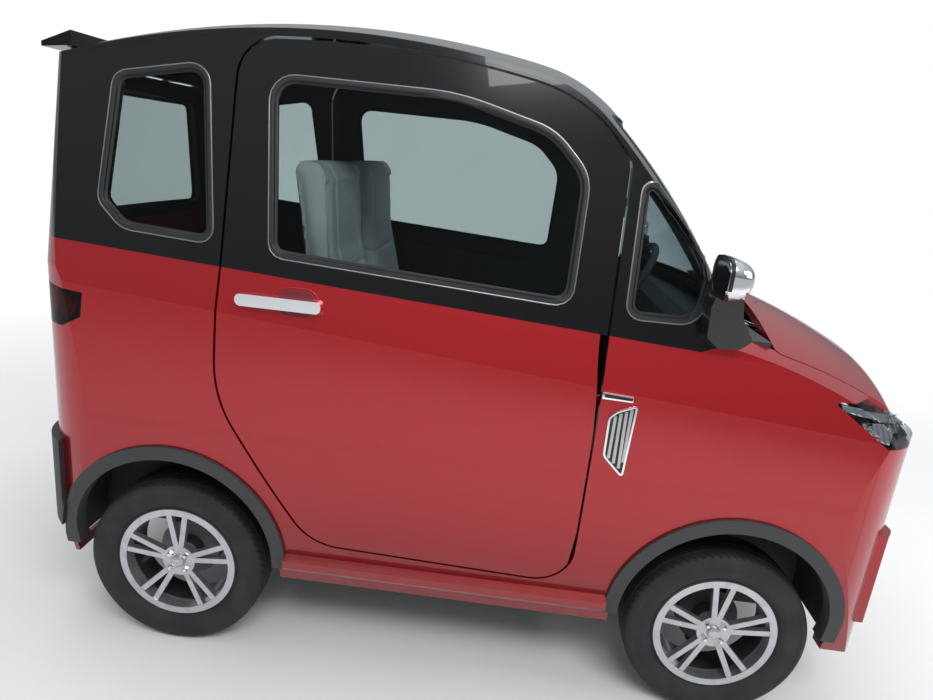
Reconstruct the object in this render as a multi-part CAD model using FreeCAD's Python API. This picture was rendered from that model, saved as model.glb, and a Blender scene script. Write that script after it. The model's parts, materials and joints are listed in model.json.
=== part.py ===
import FreeCAD, Part
import math
import os

from FreeCAD import Vector
from functools import lru_cache

# A small two-door microcar. Millimetres. X runs forward, Y to the car's left, Z up from the ground.

# Overall sizes
wheelbase = 1500.0
front_overhang = 440.0
rear_overhang = 410.0
overall_height = 1735.0
wheel_track = 980.0

front_end_x = (front_overhang + wheelbase + rear_overhang) / 2
rear_end_x = -front_end_x
front_axle_x = front_end_x - front_overhang
rear_axle_x = rear_end_x + rear_overhang

# Body side in front view: half widths at named heights, the same along the whole car
sill_half_width = 530.0
sill_z = 235.0
flank_half_width = 573.0
flank_z = 430.0
belly_half_width = 585.0
belly_z = 690.0
shoulder_half_width = 583.0
crease_half_width = 574.0
belt_half_width = 546.0
window_half_width = 480.0
window_z = 1420.0
side_top_half_width = 398.0
side_top_z = 1800.0

# The belt and the crease fall straight towards the nose
belt_mid_z = 1061.0
belt_fall = 0.0615
crease_mid_z = 941.0
crease_fall = 0.0822

# Roof and windscreen: tangent arcs in side view, radius and the angle where each ends
roof_apex_x = -385.0
roof_start_angle = -26.0
roof_arcs = ((2450.0, 11.3), (456.0, 41.0), (1900.0, 64.0))
roof_crown_radius = 1570.0

# Bonnet and nose edge: the same kind of arcs
bonnet_apex_x = 355.0
bonnet_apex_z = 1170.0
bonnet_start_angle = -6.0
bonnet_arcs = ((1585.0, 27.0), (150.0, 86.0))
bonnet_crown_radius = 1500.0
crown_half_span = 600.0
crown_reach = 900.0

# Rounded nose and tail in plan view
plan_corner_radius = 165.0
plan_half_width = 586.0
plan_top_half_width = 438.0
face_bow = 22.0
bumper_proud = 18.0

# Walls
door_wall = 45.0
side_wall = 30.0
pillar_wall = 30.0
roof_wall = 22.0
fender_wall = 22.0
glass_thickness = 4.0
glass_inset = 7.0
glass_fit = 0.3
panel_seam = 0.4
lamp_depth = 58.0
door_gap = 6.0

# Door outline in side view
door_front_x = 318.0
door_rear_x = -640.0
door_bottom_z = 366.0
door_top_drop = 84.0
sill_rear_x = -300.0
sill_front_x = 100.0

# Hinges: doors turn on upright pins inside the wing, bonnet and tailgate on level ones
door_hinge_ahead = 44.0
door_hinge_y = 541.0
door_hinge_heights = (520.0, 860.0)
swing_clearance = 5.0
hinge_pin_radius = 5.0
hinge_eye_radius = 11.0
hinge_fit = 0.05
bonnet_hinge_x = 730.0
bonnet_hinge_z = 1088.0
bonnet_hinge_y = 150.0
tailgate_hinge_x = -1163.0
tailgate_hinge_z = 1563.0
tailgate_hinge_y = 220.0

# Wheels
tyre_radius = 247.0
tyre_width = 135.0
rim_radius = 165.0
rim_width = 112.0
rim_bead_radius = 150.0
hub_radius = 46.0
spindle_radius = 14.0
spindle_fit = 0.05
spoke_pairs = 5
steer_offset = 70.0
king_radius = 20.0
king_low_z = 130.0
king_high_z = 360.0
king_eye_radius = 30.0
drum_radius = 85.0

# Wheel arches
arch_centre_z = 310.0
arch_radius = 273.0
flare_width = 37.0
flare_proud = 9.0
liner_radius = 295.0
liner_wall = 4.0
front_liner_inner_y = 300.0
rear_liner_inner_y = 380.0
liner_outer_y = 552.0

# Number plate screws and towing thread
plate_hole_spacing = 210.0
plate_hole_radius = 3.3
rear_plate_z = 800.0
front_plate_z = 540.0
tow_thread_radius = 8.0
tow_thread_depth = 40.0

# Chassis
rail_inner_y = 230.0
rail_outer_y = 290.0
rail_bottom_z = 190.0
rail_top_z = 250.0
rail_rear_z = 400.0
rail_front_x = 1060.0
floor_z = rail_top_z
floor_thickness = 14.0
bulkhead_x = 575.0
bulkhead_top_z = 1000.0
rear_deck_z = 500.0
riser_x = -520.0


def side_view(x, z):
    return Vector(x, 0, z)


def front_view(y, z):
    return Vector(0, y, z)


def plan_view(x, y):
    return Vector(x, y, 0)


def closed_wire(points, view):
    """Closed outline. A pair is a corner; four numbers are an arc through the first pair to the second."""
    edges = []
    here = view(*points[0])
    for entry in list(points[1:]) + [points[0]]:
        there = view(*entry[-2:])
        if len(entry) == 4:
            edges.append(Part.Arc(here, view(*entry[:2]), there).toShape())
        elif here.distanceToPoint(there) > 0.001:
            edges.append(Part.makeLine(here, there))
        here = there
    return Part.Wire(edges)


def outline_face(points, view, grow=0.0):
    if len(points[0]) == 3:
        points = rounded_points(points, grow)
    return Part.Face(closed_wire(points, view))


def rounded_points(corners, grow):
    """Corners (across, up, radius) as a closed outline with tangent arcs, moved outwards by grow."""
    count = len(corners)
    area = sum(corners[n][0] * corners[(n + 1) % count][1] - corners[(n + 1) % count][0] * corners[n][1]
               for n in range(count))
    turn_sign = 1 if area > 0 else -1
    sides = []
    for n in range(count):
        start = corners[n]
        end = corners[(n + 1) % count]
        length = math.hypot(end[0] - start[0], end[1] - start[1])
        along = ((end[0] - start[0]) / length, (end[1] - start[1]) / length)
        out = (along[1] * turn_sign, -along[0] * turn_sign)
        sides.append((start[0] + out[0] * grow, start[1] + out[1] * grow, along[0], along[1]))
    points = []
    for n in range(count):
        before = sides[n - 1]
        after = sides[n]
        cross = before[2] * after[3] - before[3] * after[2]
        reach = ((after[0] - before[0]) * after[3] - (after[1] - before[1]) * after[2]) / cross
        corner = (before[0] + before[2] * reach, before[1] + before[3] * reach)
        convex = cross * turn_sign > 0
        radius = corners[n][2] + (grow if convex else -grow)
        if corners[n][2] == 0 or radius <= 0.01:
            points.append(corner)
            continue
        turn = math.atan2(abs(cross), before[2] * after[2] + before[3] * after[3])
        tangent = radius * math.tan(turn / 2)
        first = (corner[0] - before[2] * tangent, corner[1] - before[3] * tangent)
        last = (corner[0] + after[2] * tangent, corner[1] + after[3] * tangent)
        chord_mid = ((first[0] + last[0]) / 2, (first[1] + last[1]) / 2)
        to_corner = (corner[0] - chord_mid[0], corner[1] - chord_mid[1])
        rise = radius * (1 - math.cos(turn / 2)) / math.hypot(*to_corner)
        mid = (chord_mid[0] + to_corner[0] * rise, chord_mid[1] + to_corner[1] * rise)
        points.append(first)
        points.append((mid[0], mid[1], last[0], last[1]))
    return points


def side_prism(points, y_from, y_to, grow=0.0):
    face = outline_face(points, side_view, grow)
    face.translate(Vector(0, y_from, 0))
    return face.extrude(Vector(0, y_to - y_from, 0))


def front_prism(points, x_from, x_to, grow=0.0):
    face = outline_face(points, front_view, grow)
    face.translate(Vector(x_from, 0, 0))
    return face.extrude(Vector(x_to - x_from, 0, 0))


def plan_prism(points, z_from, z_to, grow=0.0):
    face = outline_face(points, plan_view, grow)
    face.translate(Vector(0, 0, z_from))
    return face.extrude(Vector(0, 0, z_to - z_from))


def block(x_from, x_to, y_from, y_to, z_from, z_to):
    return Part.makeBox(x_to - x_from, y_to - y_from, z_to - z_from, Vector(x_from, y_from, z_from))


def rod(start, end, radius):
    along = end - start
    return Part.makeCylinder(radius, along.Length, start, along)


def ring(outer_radius, inner_radius, y_from, y_to, x, z):
    axis = Vector(0, 1, 0)
    start = Vector(x, y_from, z)
    outer = Part.makeCylinder(outer_radius, y_to - y_from, start, axis)
    return outer.cut(Part.makeCylinder(inner_radius, y_to - y_from, start, axis))


def mirrored(shape):
    return shape.mirror(Vector(0, 0, 0), Vector(0, 1, 0))


def both_sides(shape):
    return Part.makeCompound([shape, mirrored(shape)])


def rounded_box(left, right, low, high, radius):
    """Rectangle with four round corners."""
    return [(left, low, radius), (right, low, radius), (right, high, radius), (left, high, radius)]


def belt_z(x):
    return belt_mid_z - belt_fall * x


def crease_z(x):
    return crease_mid_z - crease_fall * x


def arc_chain(apex_x, apex_z, start_angle, spans):
    """Tangent arcs as (centre x, centre z, radius, start, end); angles are degrees forward of straight up."""
    chain = []
    radius = spans[0][0]
    centre_x = apex_x
    centre_z = apex_z - radius
    angle = start_angle
    for span_radius, end_angle in spans:
        turn = math.radians(angle)
        centre_x += (radius - span_radius) * math.sin(turn)
        centre_z += (radius - span_radius) * math.cos(turn)
        chain.append((centre_x, centre_z, span_radius, angle, end_angle))
        radius = span_radius
        angle = end_angle
    return chain


def arc_point(span, angle, inset):
    centre_x, centre_z, radius = span[:3]
    turn = math.radians(angle)
    return (centre_x + (radius - inset) * math.sin(turn), centre_z + (radius - inset) * math.cos(turn))


roof_line = arc_chain(roof_apex_x, overall_height, roof_start_angle, roof_arcs)
bonnet_line = arc_chain(bonnet_apex_x, bonnet_apex_z, bonnet_start_angle, bonnet_arcs)


def roof_angle_at(x, inset):
    """Angle on the long roof arc at a given x."""
    return math.degrees(math.asin((x - roof_line[0][0]) / (roof_line[0][2] - inset)))


def above_skin(chain, crown_radius, inset):
    """Everything outside a crowned skin that follows the arcs."""
    pieces = []
    edge_drop = crown_radius - math.sqrt((crown_radius - inset) ** 2 - crown_half_span ** 2)
    for centre_x, centre_z, radius, start, end in chain:
        edge_z = centre_z + radius - edge_drop
        top_z = centre_z + radius + crown_reach
        points = [(-crown_half_span, edge_z),
                  (0, centre_z + radius - inset, crown_half_span, edge_z),
                  (crown_half_span, top_z), (-crown_half_span, top_z)]
        face = outline_face(points, front_view)
        centre = Vector(centre_x, 0, centre_z)
        face.translate(Vector(centre_x, 0, 0))
        face.rotate(centre, Vector(0, 1, 0), start)
        pieces.append(face.revolve(centre, Vector(0, 1, 0), end - start))
    return pieces


def body_section(x, inset):
    """Front view of the body at x, in one closed wire."""
    right = [(sill_half_width - inset, sill_z + inset),
             (flank_half_width - inset, flank_z, belly_half_width - inset, belly_z),
             (shoulder_half_width - inset, (belly_z + crease_z(x)) / 2, crease_half_width - inset, crease_z(x)),
             (belt_half_width - inset, belt_z(x)),
             (window_half_width - inset, window_z, side_top_half_width - inset, side_top_z)]
    left = [(-side_top_half_width + inset, side_top_z),
            (-window_half_width + inset, window_z, -belt_half_width + inset, belt_z(x)),
            (-crease_half_width + inset, crease_z(x)),
            (-shoulder_half_width + inset, (belly_z + crease_z(x)) / 2, -belly_half_width + inset, belly_z),
            (-flank_half_width + inset, flank_z, -sill_half_width + inset, sill_z + inset)]
    wire = closed_wire(right + left, front_view)
    wire.translate(Vector(x, 0, 0))
    return wire


def plan_wire(half_width, z, inset):
    """Top view of the body: bowed nose and tail faces with round corners."""
    radius = plan_corner_radius - inset
    bend = radius * math.sqrt(0.5)
    nose_face_x = front_end_x - bumper_proud - face_bow - inset
    tail_face_x = rear_end_x + bumper_proud + face_bow + inset
    corner_y = half_width - plan_corner_radius
    half = half_width - inset
    nose_x = nose_face_x - radius
    tail_x = tail_face_x + radius
    points = [(tail_x, -half), (nose_x, -half),
              (nose_x + bend, -corner_y - bend, nose_face_x, -corner_y),
              (nose_face_x + face_bow, 0, nose_face_x, corner_y),
              (nose_x + bend, corner_y + bend, nose_x, half), (tail_x, half),
              (tail_x - bend, corner_y + bend, tail_face_x, corner_y),
              (tail_face_x - face_bow, 0, tail_face_x, -corner_y),
              (tail_x - bend, -corner_y - bend, tail_x, -half)]
    wire = closed_wire(points, plan_view)
    wire.translate(Vector(0, 0, z))
    return wire


@lru_cache(maxsize=None)
def body_block(inset):
    """The body side by side with its rounded ends, before the roof and bonnet are cut."""
    sides = Part.makeLoft([body_section(rear_end_x - 50, inset), body_section(front_end_x + 50, inset)], True, True)
    plan = Part.makeLoft([plan_wire(plan_half_width, sill_z - 50, inset),
                          plan_wire(plan_half_width, belt_mid_z, inset),
                          plan_wire(plan_top_half_width, side_top_z + 50, inset)], True, True)
    return sides.common(plan)


@lru_cache(maxsize=None)
def cabin_solid(inset):
    """The body up to its roof and windscreen."""
    cabin = body_block(inset).cut(above_skin(roof_line, roof_crown_radius, inset))
    return cabin.Solids[0]


@lru_cache(maxsize=None)
def nose_solid(inset):
    """The front of the body up to its bonnet."""
    room = block(0, front_end_x + 100, -700, 700, 0, 1300)
    nose = body_block(inset).common(room).cut(above_skin(bonnet_line, bonnet_crown_radius, inset))
    return max(nose.Solids, key=lambda solid: solid.Volume)


def crossing(span_a, angle_a, span_b, angle_b, inset):
    """Point where the tangents of two arcs meet, the arcs moved in by inset."""
    start = arc_point(span_a, angle_a, inset)
    end = arc_point(span_b, angle_b, inset)
    dir_a = (math.cos(math.radians(angle_a)), -math.sin(math.radians(angle_a)))
    dir_b = (math.cos(math.radians(angle_b)), -math.sin(math.radians(angle_b)))
    cross = dir_a[0] * dir_b[1] - dir_a[1] * dir_b[0]
    reach = ((end[0] - start[0]) * dir_b[1] - (end[1] - start[1]) * dir_b[0]) / cross
    return (start[0] + dir_a[0] * reach, start[1] + dir_a[1] * reach)


def tangent_at_x(span, angle, inset, x):
    """Height at x of the tangent to an arc."""
    point = arc_point(span, angle, inset)
    return point[1] - (x - point[0]) * math.tan(math.radians(angle))


def door_corners():
    """Shut line of the door in side view; its top follows the roof line at a constant depth."""
    long_arc, header = roof_line[:2]
    drop = door_top_drop
    rear_angle = roof_angle_at(door_rear_x + 100, drop)
    front_angle = 52.0
    top_mid = crossing(long_arc, rear_angle, header, header[3], drop)
    top_front = crossing(header, header[3], header, front_angle, drop)
    return [(door_rear_x, tangent_at_x(long_arc, rear_angle, drop, door_rear_x), 95.0),
            (door_rear_x, 771.0, 330.0),
            (door_rear_x + 258, door_bottom_z + 12, 150.0),
            (door_front_x - 4, door_bottom_z - 9, 100.0),
            (door_front_x, tangent_at_x(header, front_angle, drop, door_front_x), 60.0),
            (top_front[0], top_front[1], header[2] - drop),
            (top_mid[0], top_mid[1], long_arc[2] - drop)]


# Window outlines as corners with radii: side view for the sides, front view for the windscreen and tail
door_window = [(-513.0, 1150.0, 25.0), (209.0, 1112.0, 30.0), (215.0, 1402.0, 90.0), (126.0, 1491.0, 150.0),
               (-109.0, 1551.0, 900.0), (-549.0, 1552.0, 45.0)]
rear_side_window = [(-948.0, 1233.0, 30.0), (-890.0, 1178.0, 60.0), (-679.0, 1166.0, 20.0),
                    (-724.0, 1562.0, 35.0), (-934.0, 1521.0, 25.0)]
quarter_light = [(366.0, 1100.0, 25.0), (519.0, 1102.0, 45.0), (540.0, 1238.0, 15.0), (365.0, 1412.0, 12.0)]
windscreen_opening = [(-468.0, 1108.0, 25.0), (468.0, 1108.0, 25.0), (390.0, 1552.0, 35.0), (-390.0, 1552.0, 35.0)]
windscreen_from_x = 150.0
pane_inner_y = 455.0
tailgate_opening = [(-424.0, 640.0, 30.0), (424.0, 640.0, 30.0), (424.0, 1125.0, 60.0), (362.0, 1556.0, 35.0),
                    (-362.0, 1556.0, 35.0), (-424.0, 1125.0, 60.0)]
tailgate_window = [(-360.0, 1160.0, 30.0), (360.0, 1160.0, 30.0), (312.0, 1500.0, 30.0), (-312.0, 1500.0, 30.0)]
tailgate_front_x = rear_end_x + 180

# Mirror: place of its head, its sections from the flat rear face forwards, and its foot in side view
mirror_y = 616.0
mirror_z = 1222.0
mirror_sections = ((533.0, 70.0, 46.0, 34.0), (558.0, 66.0, 42.0, 34.0), (580.0, 54.0, 33.0, 28.0),
                   (594.0, 34.0, 19.0, 15.0))
mirror_foot = [(541.0, 1072.0, 15.0), (575.0, 1046.0, 20.0), (626.0, 1050.0, 20.0), (648.0, 1076.0, 12.0),
               (610.0, 1125.0, 10.0), (588.0, 1205.0, 5.0), (540.0, 1205.0, 5.0), (530.0, 1150.0, 10.0)]

# Outlines of other pieces
far = 900.0
bonnet_rear_x = 742.0
bonnet_front_z = 905.0
bonnet_half_width = 492.0
cowl_top_z = 1056.0
cowl_web_x = 643.0
cowl_front_x = 729.0
cowl_half_width = sill_half_width - 45.5
nose_seam_x = 1012.0
lamp_top_z = 947.0


def above_belt(drop=0.0):
    """Region above the belt, which steps up to the windscreen's foot ahead of the door."""
    return side_prism([(rear_end_x - 100, belt_z(rear_end_x - 100) - drop), (545.0, belt_z(545.0) - drop),
                       (690.0, 1085.0 - drop), (800.0, 1085.0 - drop), (800.0, 2000.0),
                       (rear_end_x - 100, 2000.0)], -far, far)


def door_region(grow=0.0):
    return side_prism(door_corners(), -far, far, grow)


def arch_cut(axle_x, radius, y_from, y_to):
    """Wheel opening: a half round with straight sides down to below the body."""
    return side_prism([(axle_x - radius, 100.0), (axle_x + radius, 100.0), (axle_x + radius, arch_centre_z),
                       (axle_x, arch_centre_z + radius, axle_x - radius, arch_centre_z)], y_from, y_to)


def arches(radius):
    return [arch_cut(rear_axle_x, radius, -far, far), arch_cut(front_axle_x, radius, -far, far)]


def bonnet_region(grow=0.0):
    """Plan outline of the bonnet lid, with a floor that follows its side edges down to the nose."""
    plan = plan_prism([(bonnet_rear_x, -bonnet_half_width, 20), (front_end_x + 60, -bonnet_half_width + 40, 0),
                       (front_end_x + 60, bonnet_half_width - 40, 0), (bonnet_rear_x, bonnet_half_width, 20)],
                      800.0, 1300.0, grow)
    side = side_prism([(bonnet_rear_x - 20, 1030.0, 0), (980.0, 930.0, 0), (1100.0, bonnet_front_z, 0),
                       (front_end_x + 80, bonnet_front_z, 0), (front_end_x + 80, 1400.0, 0),
                       (bonnet_rear_x - 20, 1400.0, 0)], -far, far, grow)
    return plan.common(side)


def lamp_region(grow=0.0):
    """Headlamp block at the left front corner, seen from the front and from the side."""
    front = front_prism([(285.0, 888.0, 0), (330.0, 838.0, 0), (620.0, 848.0, 0), (620.0, 960.0, 0),
                         (285.0, 960.0, 0)], 850.0, front_end_x + 50, grow)
    side = side_prism([(887.0, lamp_top_z - 8, 0), (1040.0, 835.0, 0), (1300.0, 825.0, 0), (1300.0, lamp_top_z, 0),
                       (887.0, lamp_top_z, 0)], 0.0, far, grow)
    return front.common(side)


def tail_lamp_region(grow=0.0):
    """Tail lamp at the left rear corner."""
    return side_prism([(-1300.0, 900.0, 0), (-1040.0, 910.0, 0), (-985.0, 940.0, 0), (-980.0, 1002.0, 0),
                       (-1300.0, 1034.0, 0)], 440.0, far, grow)


def grille_opening():
    return front_prism([(-300.0, 720.0), (300.0, 720.0), (330.0, 740.0, 345.0, 775.0), (375.0, 820.0),
                        (-375.0, 820.0), (-345.0, 775.0), (-330.0, 740.0, -300.0, 720.0)],
                       950.0, front_end_x + 50)


def intake_opening():
    return front_prism(rounded_box(-300.0, 300.0, 385.0, 480.0, 25.0), 950.0, front_end_x + 50)


def body_pieces():
    """Every piece that is split from the body's own walls."""
    pieces = {}
    outer_cabin = cabin_solid(0.0)
    outer_nose = nose_solid(0.0)
    upper = above_belt()
    door_hole = door_region(door_gap)
    door_plug = door_region()
    tail_hole = front_prism(tailgate_opening, rear_end_x - 60, tailgate_front_x, door_gap)
    tail_plug = front_prism(tailgate_opening, rear_end_x - 60, tailgate_front_x)
    tail_light = tail_lamp_region()
    head_light = lamp_region()

    pillar_shell = outer_cabin.cut(cabin_solid(pillar_wall)).common(upper)
    roof_drop = door_top_drop - door_gap - 4
    roof_zone = roof_region(roof_drop)
    windows = [side_prism(door_window, -far, far), side_prism(rear_side_window, -far, far),
               side_prism(quarter_light, pane_inner_y, far), side_prism(quarter_light, -far, -pane_inner_y),
               front_prism(windscreen_opening, windscreen_from_x, 900.0)]

    roof = outer_cabin.cut(cabin_solid(roof_wall)).common(roof_zone).cut(tail_hole)
    pieces["roof_panel"] = roof.fuse([spoiler()] + tailgate_hinge_ears()).removeSplitter()
    pillars = pillar_shell.cut([roof_region(roof_drop + panel_seam), door_hole, tail_hole] + windows)
    pieces["pillar_frames"] = pillars

    thin = outer_cabin.cut(cabin_solid(glass_inset + glass_thickness))
    glass_skin = cabin_solid(glass_inset).common(thin)
    left_half = block(-1300, 1300, 0, far, 0, 2000)
    side_panes = [glass_skin.common(side_prism(outline, inner_y, far, -glass_fit))
                  for outline, inner_y in ((rear_side_window, 0.0), (quarter_light, pane_inner_y))]
    pieces["side_glass"] = Part.makeCompound([both_sides(pane) for pane in side_panes])
    pieces["windscreen"] = glass_skin.common(front_prism(windscreen_opening, windscreen_from_x, 900.0, -glass_fit))

    door_shell = outer_cabin.cut(cabin_solid(door_wall)).common(door_plug)
    frame_shell = outer_cabin.cut(cabin_solid(pillar_wall)).common(door_plug)
    door_glass = glass_skin.common(side_prism(door_window, -far, far, -glass_fit))
    door_parts = {"panel": door_shell.cut(upper), "frame": frame_shell.common(upper).cut(windows[0]),
                  "glass": door_glass}
    for part_name, shape in door_parts.items():
        left_part = shape.common(left_half)
        if part_name == "panel":
            left_part = left_part.cut(door_swing_room()).fuse(door_hinge_arms()).removeSplitter()
        pieces["door_left_" + part_name] = left_part
        pieces["door_right_" + part_name] = mirrored(left_part)

    lower_shell = outer_cabin.cut(cabin_solid(side_wall)).cut(upper)
    behind = block(-1300, sill_rear_x, -far, far, 0, 2000)
    above_bumper = block(-1300, 1300, -far, far, 592.0, 2000)
    quarter = lower_shell.common(behind).cut([door_hole, tail_hole] + arches(arch_radius + 18))
    quarter = quarter.cut(skirt_zone())
    quarter = quarter.cut([block(-1300, rear_axle_x - arch_radius - 30, -far, far, 0, 592.0),
                           side_prism(rear_bumper_outline, -far, far)])
    quarter = quarter.cut([tail_light, mirrored(tail_light)])
    pieces["quarter_panels"] = quarter
    tail_lamp = outer_cabin.common(tail_lamp_region(-panel_seam)).cut(body_block(lamp_depth))
    pieces["tail_lamps"] = both_sides(tail_lamp)

    tail_shell = outer_cabin.cut(cabin_solid(side_wall)).common(tail_plug)
    pieces["tailgate_panel"] = tail_shell.cut([upper] + plate_holes(rear_end_x, rear_end_x + 100, rear_plate_z))
    tail_window = front_prism(tailgate_window, rear_end_x - 60, tailgate_front_x)
    tail_frame = tail_shell.common(upper).cut(tail_window)
    pieces["tailgate_frame"] = tail_frame.fuse(tailgate_hinge_lugs()).removeSplitter()
    tail_pane = front_prism(tailgate_window, rear_end_x - 60, tailgate_front_x, -glass_fit)
    pieces["tailgate_glass"] = glass_skin.common(tail_pane)

    nose_shell = outer_nose.cut(nose_solid(fender_wall))
    lid = nose_shell.common(bonnet_region())
    lid = max(lid.Solids, key=lambda solid: solid.Volume)
    pieces["bonnet"] = lid.fuse(bonnet_hinge_lugs()).removeSplitter()
    fender_zone = side_prism([(sill_front_x, 0.0), (nose_seam_x, 0.0), (nose_seam_x, lamp_top_z),
                              (front_end_x + 60, lamp_top_z), (front_end_x + 60, 2000.0), (sill_front_x, 2000.0)], -far, far)
    fender = nose_shell.common(fender_zone).cut([door_hole, bonnet_region(door_gap), upper, skirt_zone()])
    fender = fender.cut(arches(arch_radius + 18)).cut([head_light, mirrored(head_light)])
    centre = [block(0, nose_seam_x + 5, -cowl_half_width - 0.5, cowl_half_width + 0.5, 0, lamp_top_z),
              block(0, bonnet_rear_x + 100, -cowl_half_width - 0.5, cowl_half_width + 0.5, 0, 2000)]
    fender = fender.cut(centre).common(left_half).fuse(door_hinge_brackets()).removeSplitter()
    pieces["front_fenders"] = both_sides(fender)

    face_zone = block(nose_seam_x + panel_seam, front_end_x + 60, -far, far, 0, lamp_top_z)
    face = nose_shell.common(face_zone).cut([bonnet_region(door_gap), head_light, mirrored(head_light)])
    face = face.cut(arches(arch_radius + 18) + [block(900, 1100, -cowl_half_width, cowl_half_width, 0, sill_z + 30)])
    bumper = front_bumper()
    plate_screws = plate_holes(front_end_x - 100, front_end_x + 50, front_plate_z)
    face = face.fuse(bumper).cut([grille_opening(), intake_opening()] + plate_screws)
    pieces["nose_panel"] = face.removeSplitter()
    lamp = outer_nose.common(lamp_region(-panel_seam)).cut([bonnet_region(door_gap), body_block(lamp_depth)])
    pieces["headlamps"] = both_sides(lamp)
    pieces["grille"] = grille_bars()
    return pieces


def plate_holes(x_from, x_to, z):
    """Two screw holes for a number plate."""
    return [rod(Vector(x_from, side * plate_hole_spacing / 2, z), Vector(x_to, side * plate_hole_spacing / 2, z),
                plate_hole_radius) for side in (-1, 1)]


def door_swing_room():
    """Round the left door's hinge its edge is hollowed, so that it turns inside the wing."""
    hinge_x = door_front_x + door_hinge_ahead
    reach = math.hypot(belly_half_width - door_hinge_y, door_hinge_ahead - door_gap) + swing_clearance
    return rod(Vector(hinge_x, door_hinge_y, 0), Vector(hinge_x, door_hinge_y, 1300), reach)


def door_hinge_arms():
    """Goosenecks of the left door: from the pin inwards, back past the wing's edge and out to the door."""
    hinge_x = door_front_x + door_hinge_ahead
    arms = []
    half = 12.0
    for z in door_hinge_heights:
        arm = plan_prism([(hinge_x - 6, door_hinge_y - 8), (hinge_x + 6, door_hinge_y - 8),
                          (hinge_x + 6, door_hinge_y - 48), (hinge_x - 98, door_hinge_y - 48),
                          (hinge_x - 98, door_hinge_y + 5), (hinge_x - 84, door_hinge_y + 5),
                          (hinge_x - 84, door_hinge_y - 36), (hinge_x - 6, door_hinge_y - 36)], z - half, z + half)
        barrel = rod(Vector(hinge_x, door_hinge_y, z - half), Vector(hinge_x, door_hinge_y, z + half), hinge_eye_radius)
        bore = rod(Vector(hinge_x, door_hinge_y, z - half), Vector(hinge_x, door_hinge_y, z + half),
                   hinge_pin_radius + hinge_fit)
        arms.append(arm.fuse(barrel).cut(bore))
    return arms


def door_hinge_brackets():
    """Ears and pin on the left wing for each door hinge."""
    hinge_x = door_front_x + door_hinge_ahead
    brackets = []
    half = 12.3
    ear = 8.0
    for z in door_hinge_heights:
        back = block(hinge_x + 13, hinge_x + 34, door_hinge_y - 8, door_hinge_y + 22, z - half - ear, z + half + ear)
        low = block(hinge_x - 10, hinge_x + 34, door_hinge_y - 8, door_hinge_y + 8, z - half - ear, z - half)
        high = block(hinge_x - 10, hinge_x + 34, door_hinge_y - 8, door_hinge_y + 8, z + half, z + half + ear)
        pin = rod(Vector(hinge_x, door_hinge_y, z - half - ear), Vector(hinge_x, door_hinge_y, z + half + ear),
                  hinge_pin_radius)
        brackets += [back, low, high, pin]
    return brackets


def level_pin(x, y_from, y_to, z, radius):
    return rod(Vector(x, y_from, z), Vector(x, y_to, z), radius)


def level_lug(outline, x, z, y, half):
    """Plate with an eye for a level pin, on both sides of the car."""
    plate = side_prism(outline, y - half, y + half)
    barrel = level_pin(x, y - half, y + half, z, hinge_eye_radius - 2)
    lug = plate.fuse(barrel).cut(level_pin(x, y - half - 1, y + half + 1, z, hinge_pin_radius + hinge_fit))
    return [lug, mirrored(lug)]


def level_ears(outline, x, z, y, half):
    """Two plates and the pin between them, on both sides of the car."""
    inner = side_prism(outline, y - half - 6, y - half - 0.3)
    outer = side_prism(outline, y + half + 0.3, y + half + 6)
    pin = level_pin(x, y - half - 6, y + half + 6, z, hinge_pin_radius)
    return [inner, outer, pin, mirrored(inner), mirrored(outer), mirrored(pin)]


def bonnet_hinge_lugs():
    x = bonnet_hinge_x
    z = bonnet_hinge_z
    return level_lug([(x, z - 9), (x + 55, z - 9), (x + 65, z + 14), (x + 15, z + 16), (x, z + 9)],
                     x, z, bonnet_hinge_y, 5.0)


def bonnet_hinge_ears():
    x = bonnet_hinge_x
    z = bonnet_hinge_z
    return level_ears([(x - 22, cowl_top_z - 2), (x - 5, cowl_top_z - 2), (x + 7, z - 6), (x + 7, z + 6),
                       (x - 7, z + 6)], x, z, bonnet_hinge_y, 5.0)


def tailgate_hinge_lugs():
    x = tailgate_hinge_x
    z = tailgate_hinge_z
    return level_lug([(x + 26, z - 38), (x + 8, z - 38), (x - 8, z - 4), (x, z), (x + 26, z - 16)],
                     x, z, tailgate_hinge_y, 5.0)


def tailgate_hinge_ears():
    x = tailgate_hinge_x
    z = tailgate_hinge_z
    return level_ears([(x - 7, z - 2), (x + 30, z - 2), (x + 30, z + 6), (x - 7, z + 6)],
                      x, z, tailgate_hinge_y, 5.0)


def roof_region(drop):
    """Side view region above the drip line, as deep below the roof line as drop."""
    header = roof_line[1]
    rear = arc_point(roof_line[0], roof_angle_at(rear_end_x - 40, drop), drop)
    mid = arc_point(roof_line[0], 0.0, drop)
    front = arc_point(header, header[3], drop)
    bend = arc_point(header, 18.0, drop)
    end = arc_point(header, 25.0, drop)
    out = arc_point(header, 25.0, -100.0)
    return side_prism([rear, (mid[0], mid[1], front[0], front[1]), (bend[0], bend[1], end[0], end[1]),
                       out, (out[0], 2000.0), (rear[0], 2000.0)], -far, far)


def spoiler():
    """Lip over the tailgate that carries the roof line on behind the body."""
    tail_x = rear_end_x + bumper_proud
    top = arc_point(roof_line[0], roof_angle_at(tail_x + 60, 0.0), 6.0)
    tip = arc_point(roof_line[0], roof_angle_at(rear_end_x, 0.0), 14.0)
    profile = [(tail_x + 60, top[1] - 36), (tail_x + 60, top[1]), (rear_end_x, tip[1]), (rear_end_x, tip[1] - 12)]
    return side_prism(profile, -385.0, 385.0).cut(cabin_solid(roof_wall))


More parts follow.
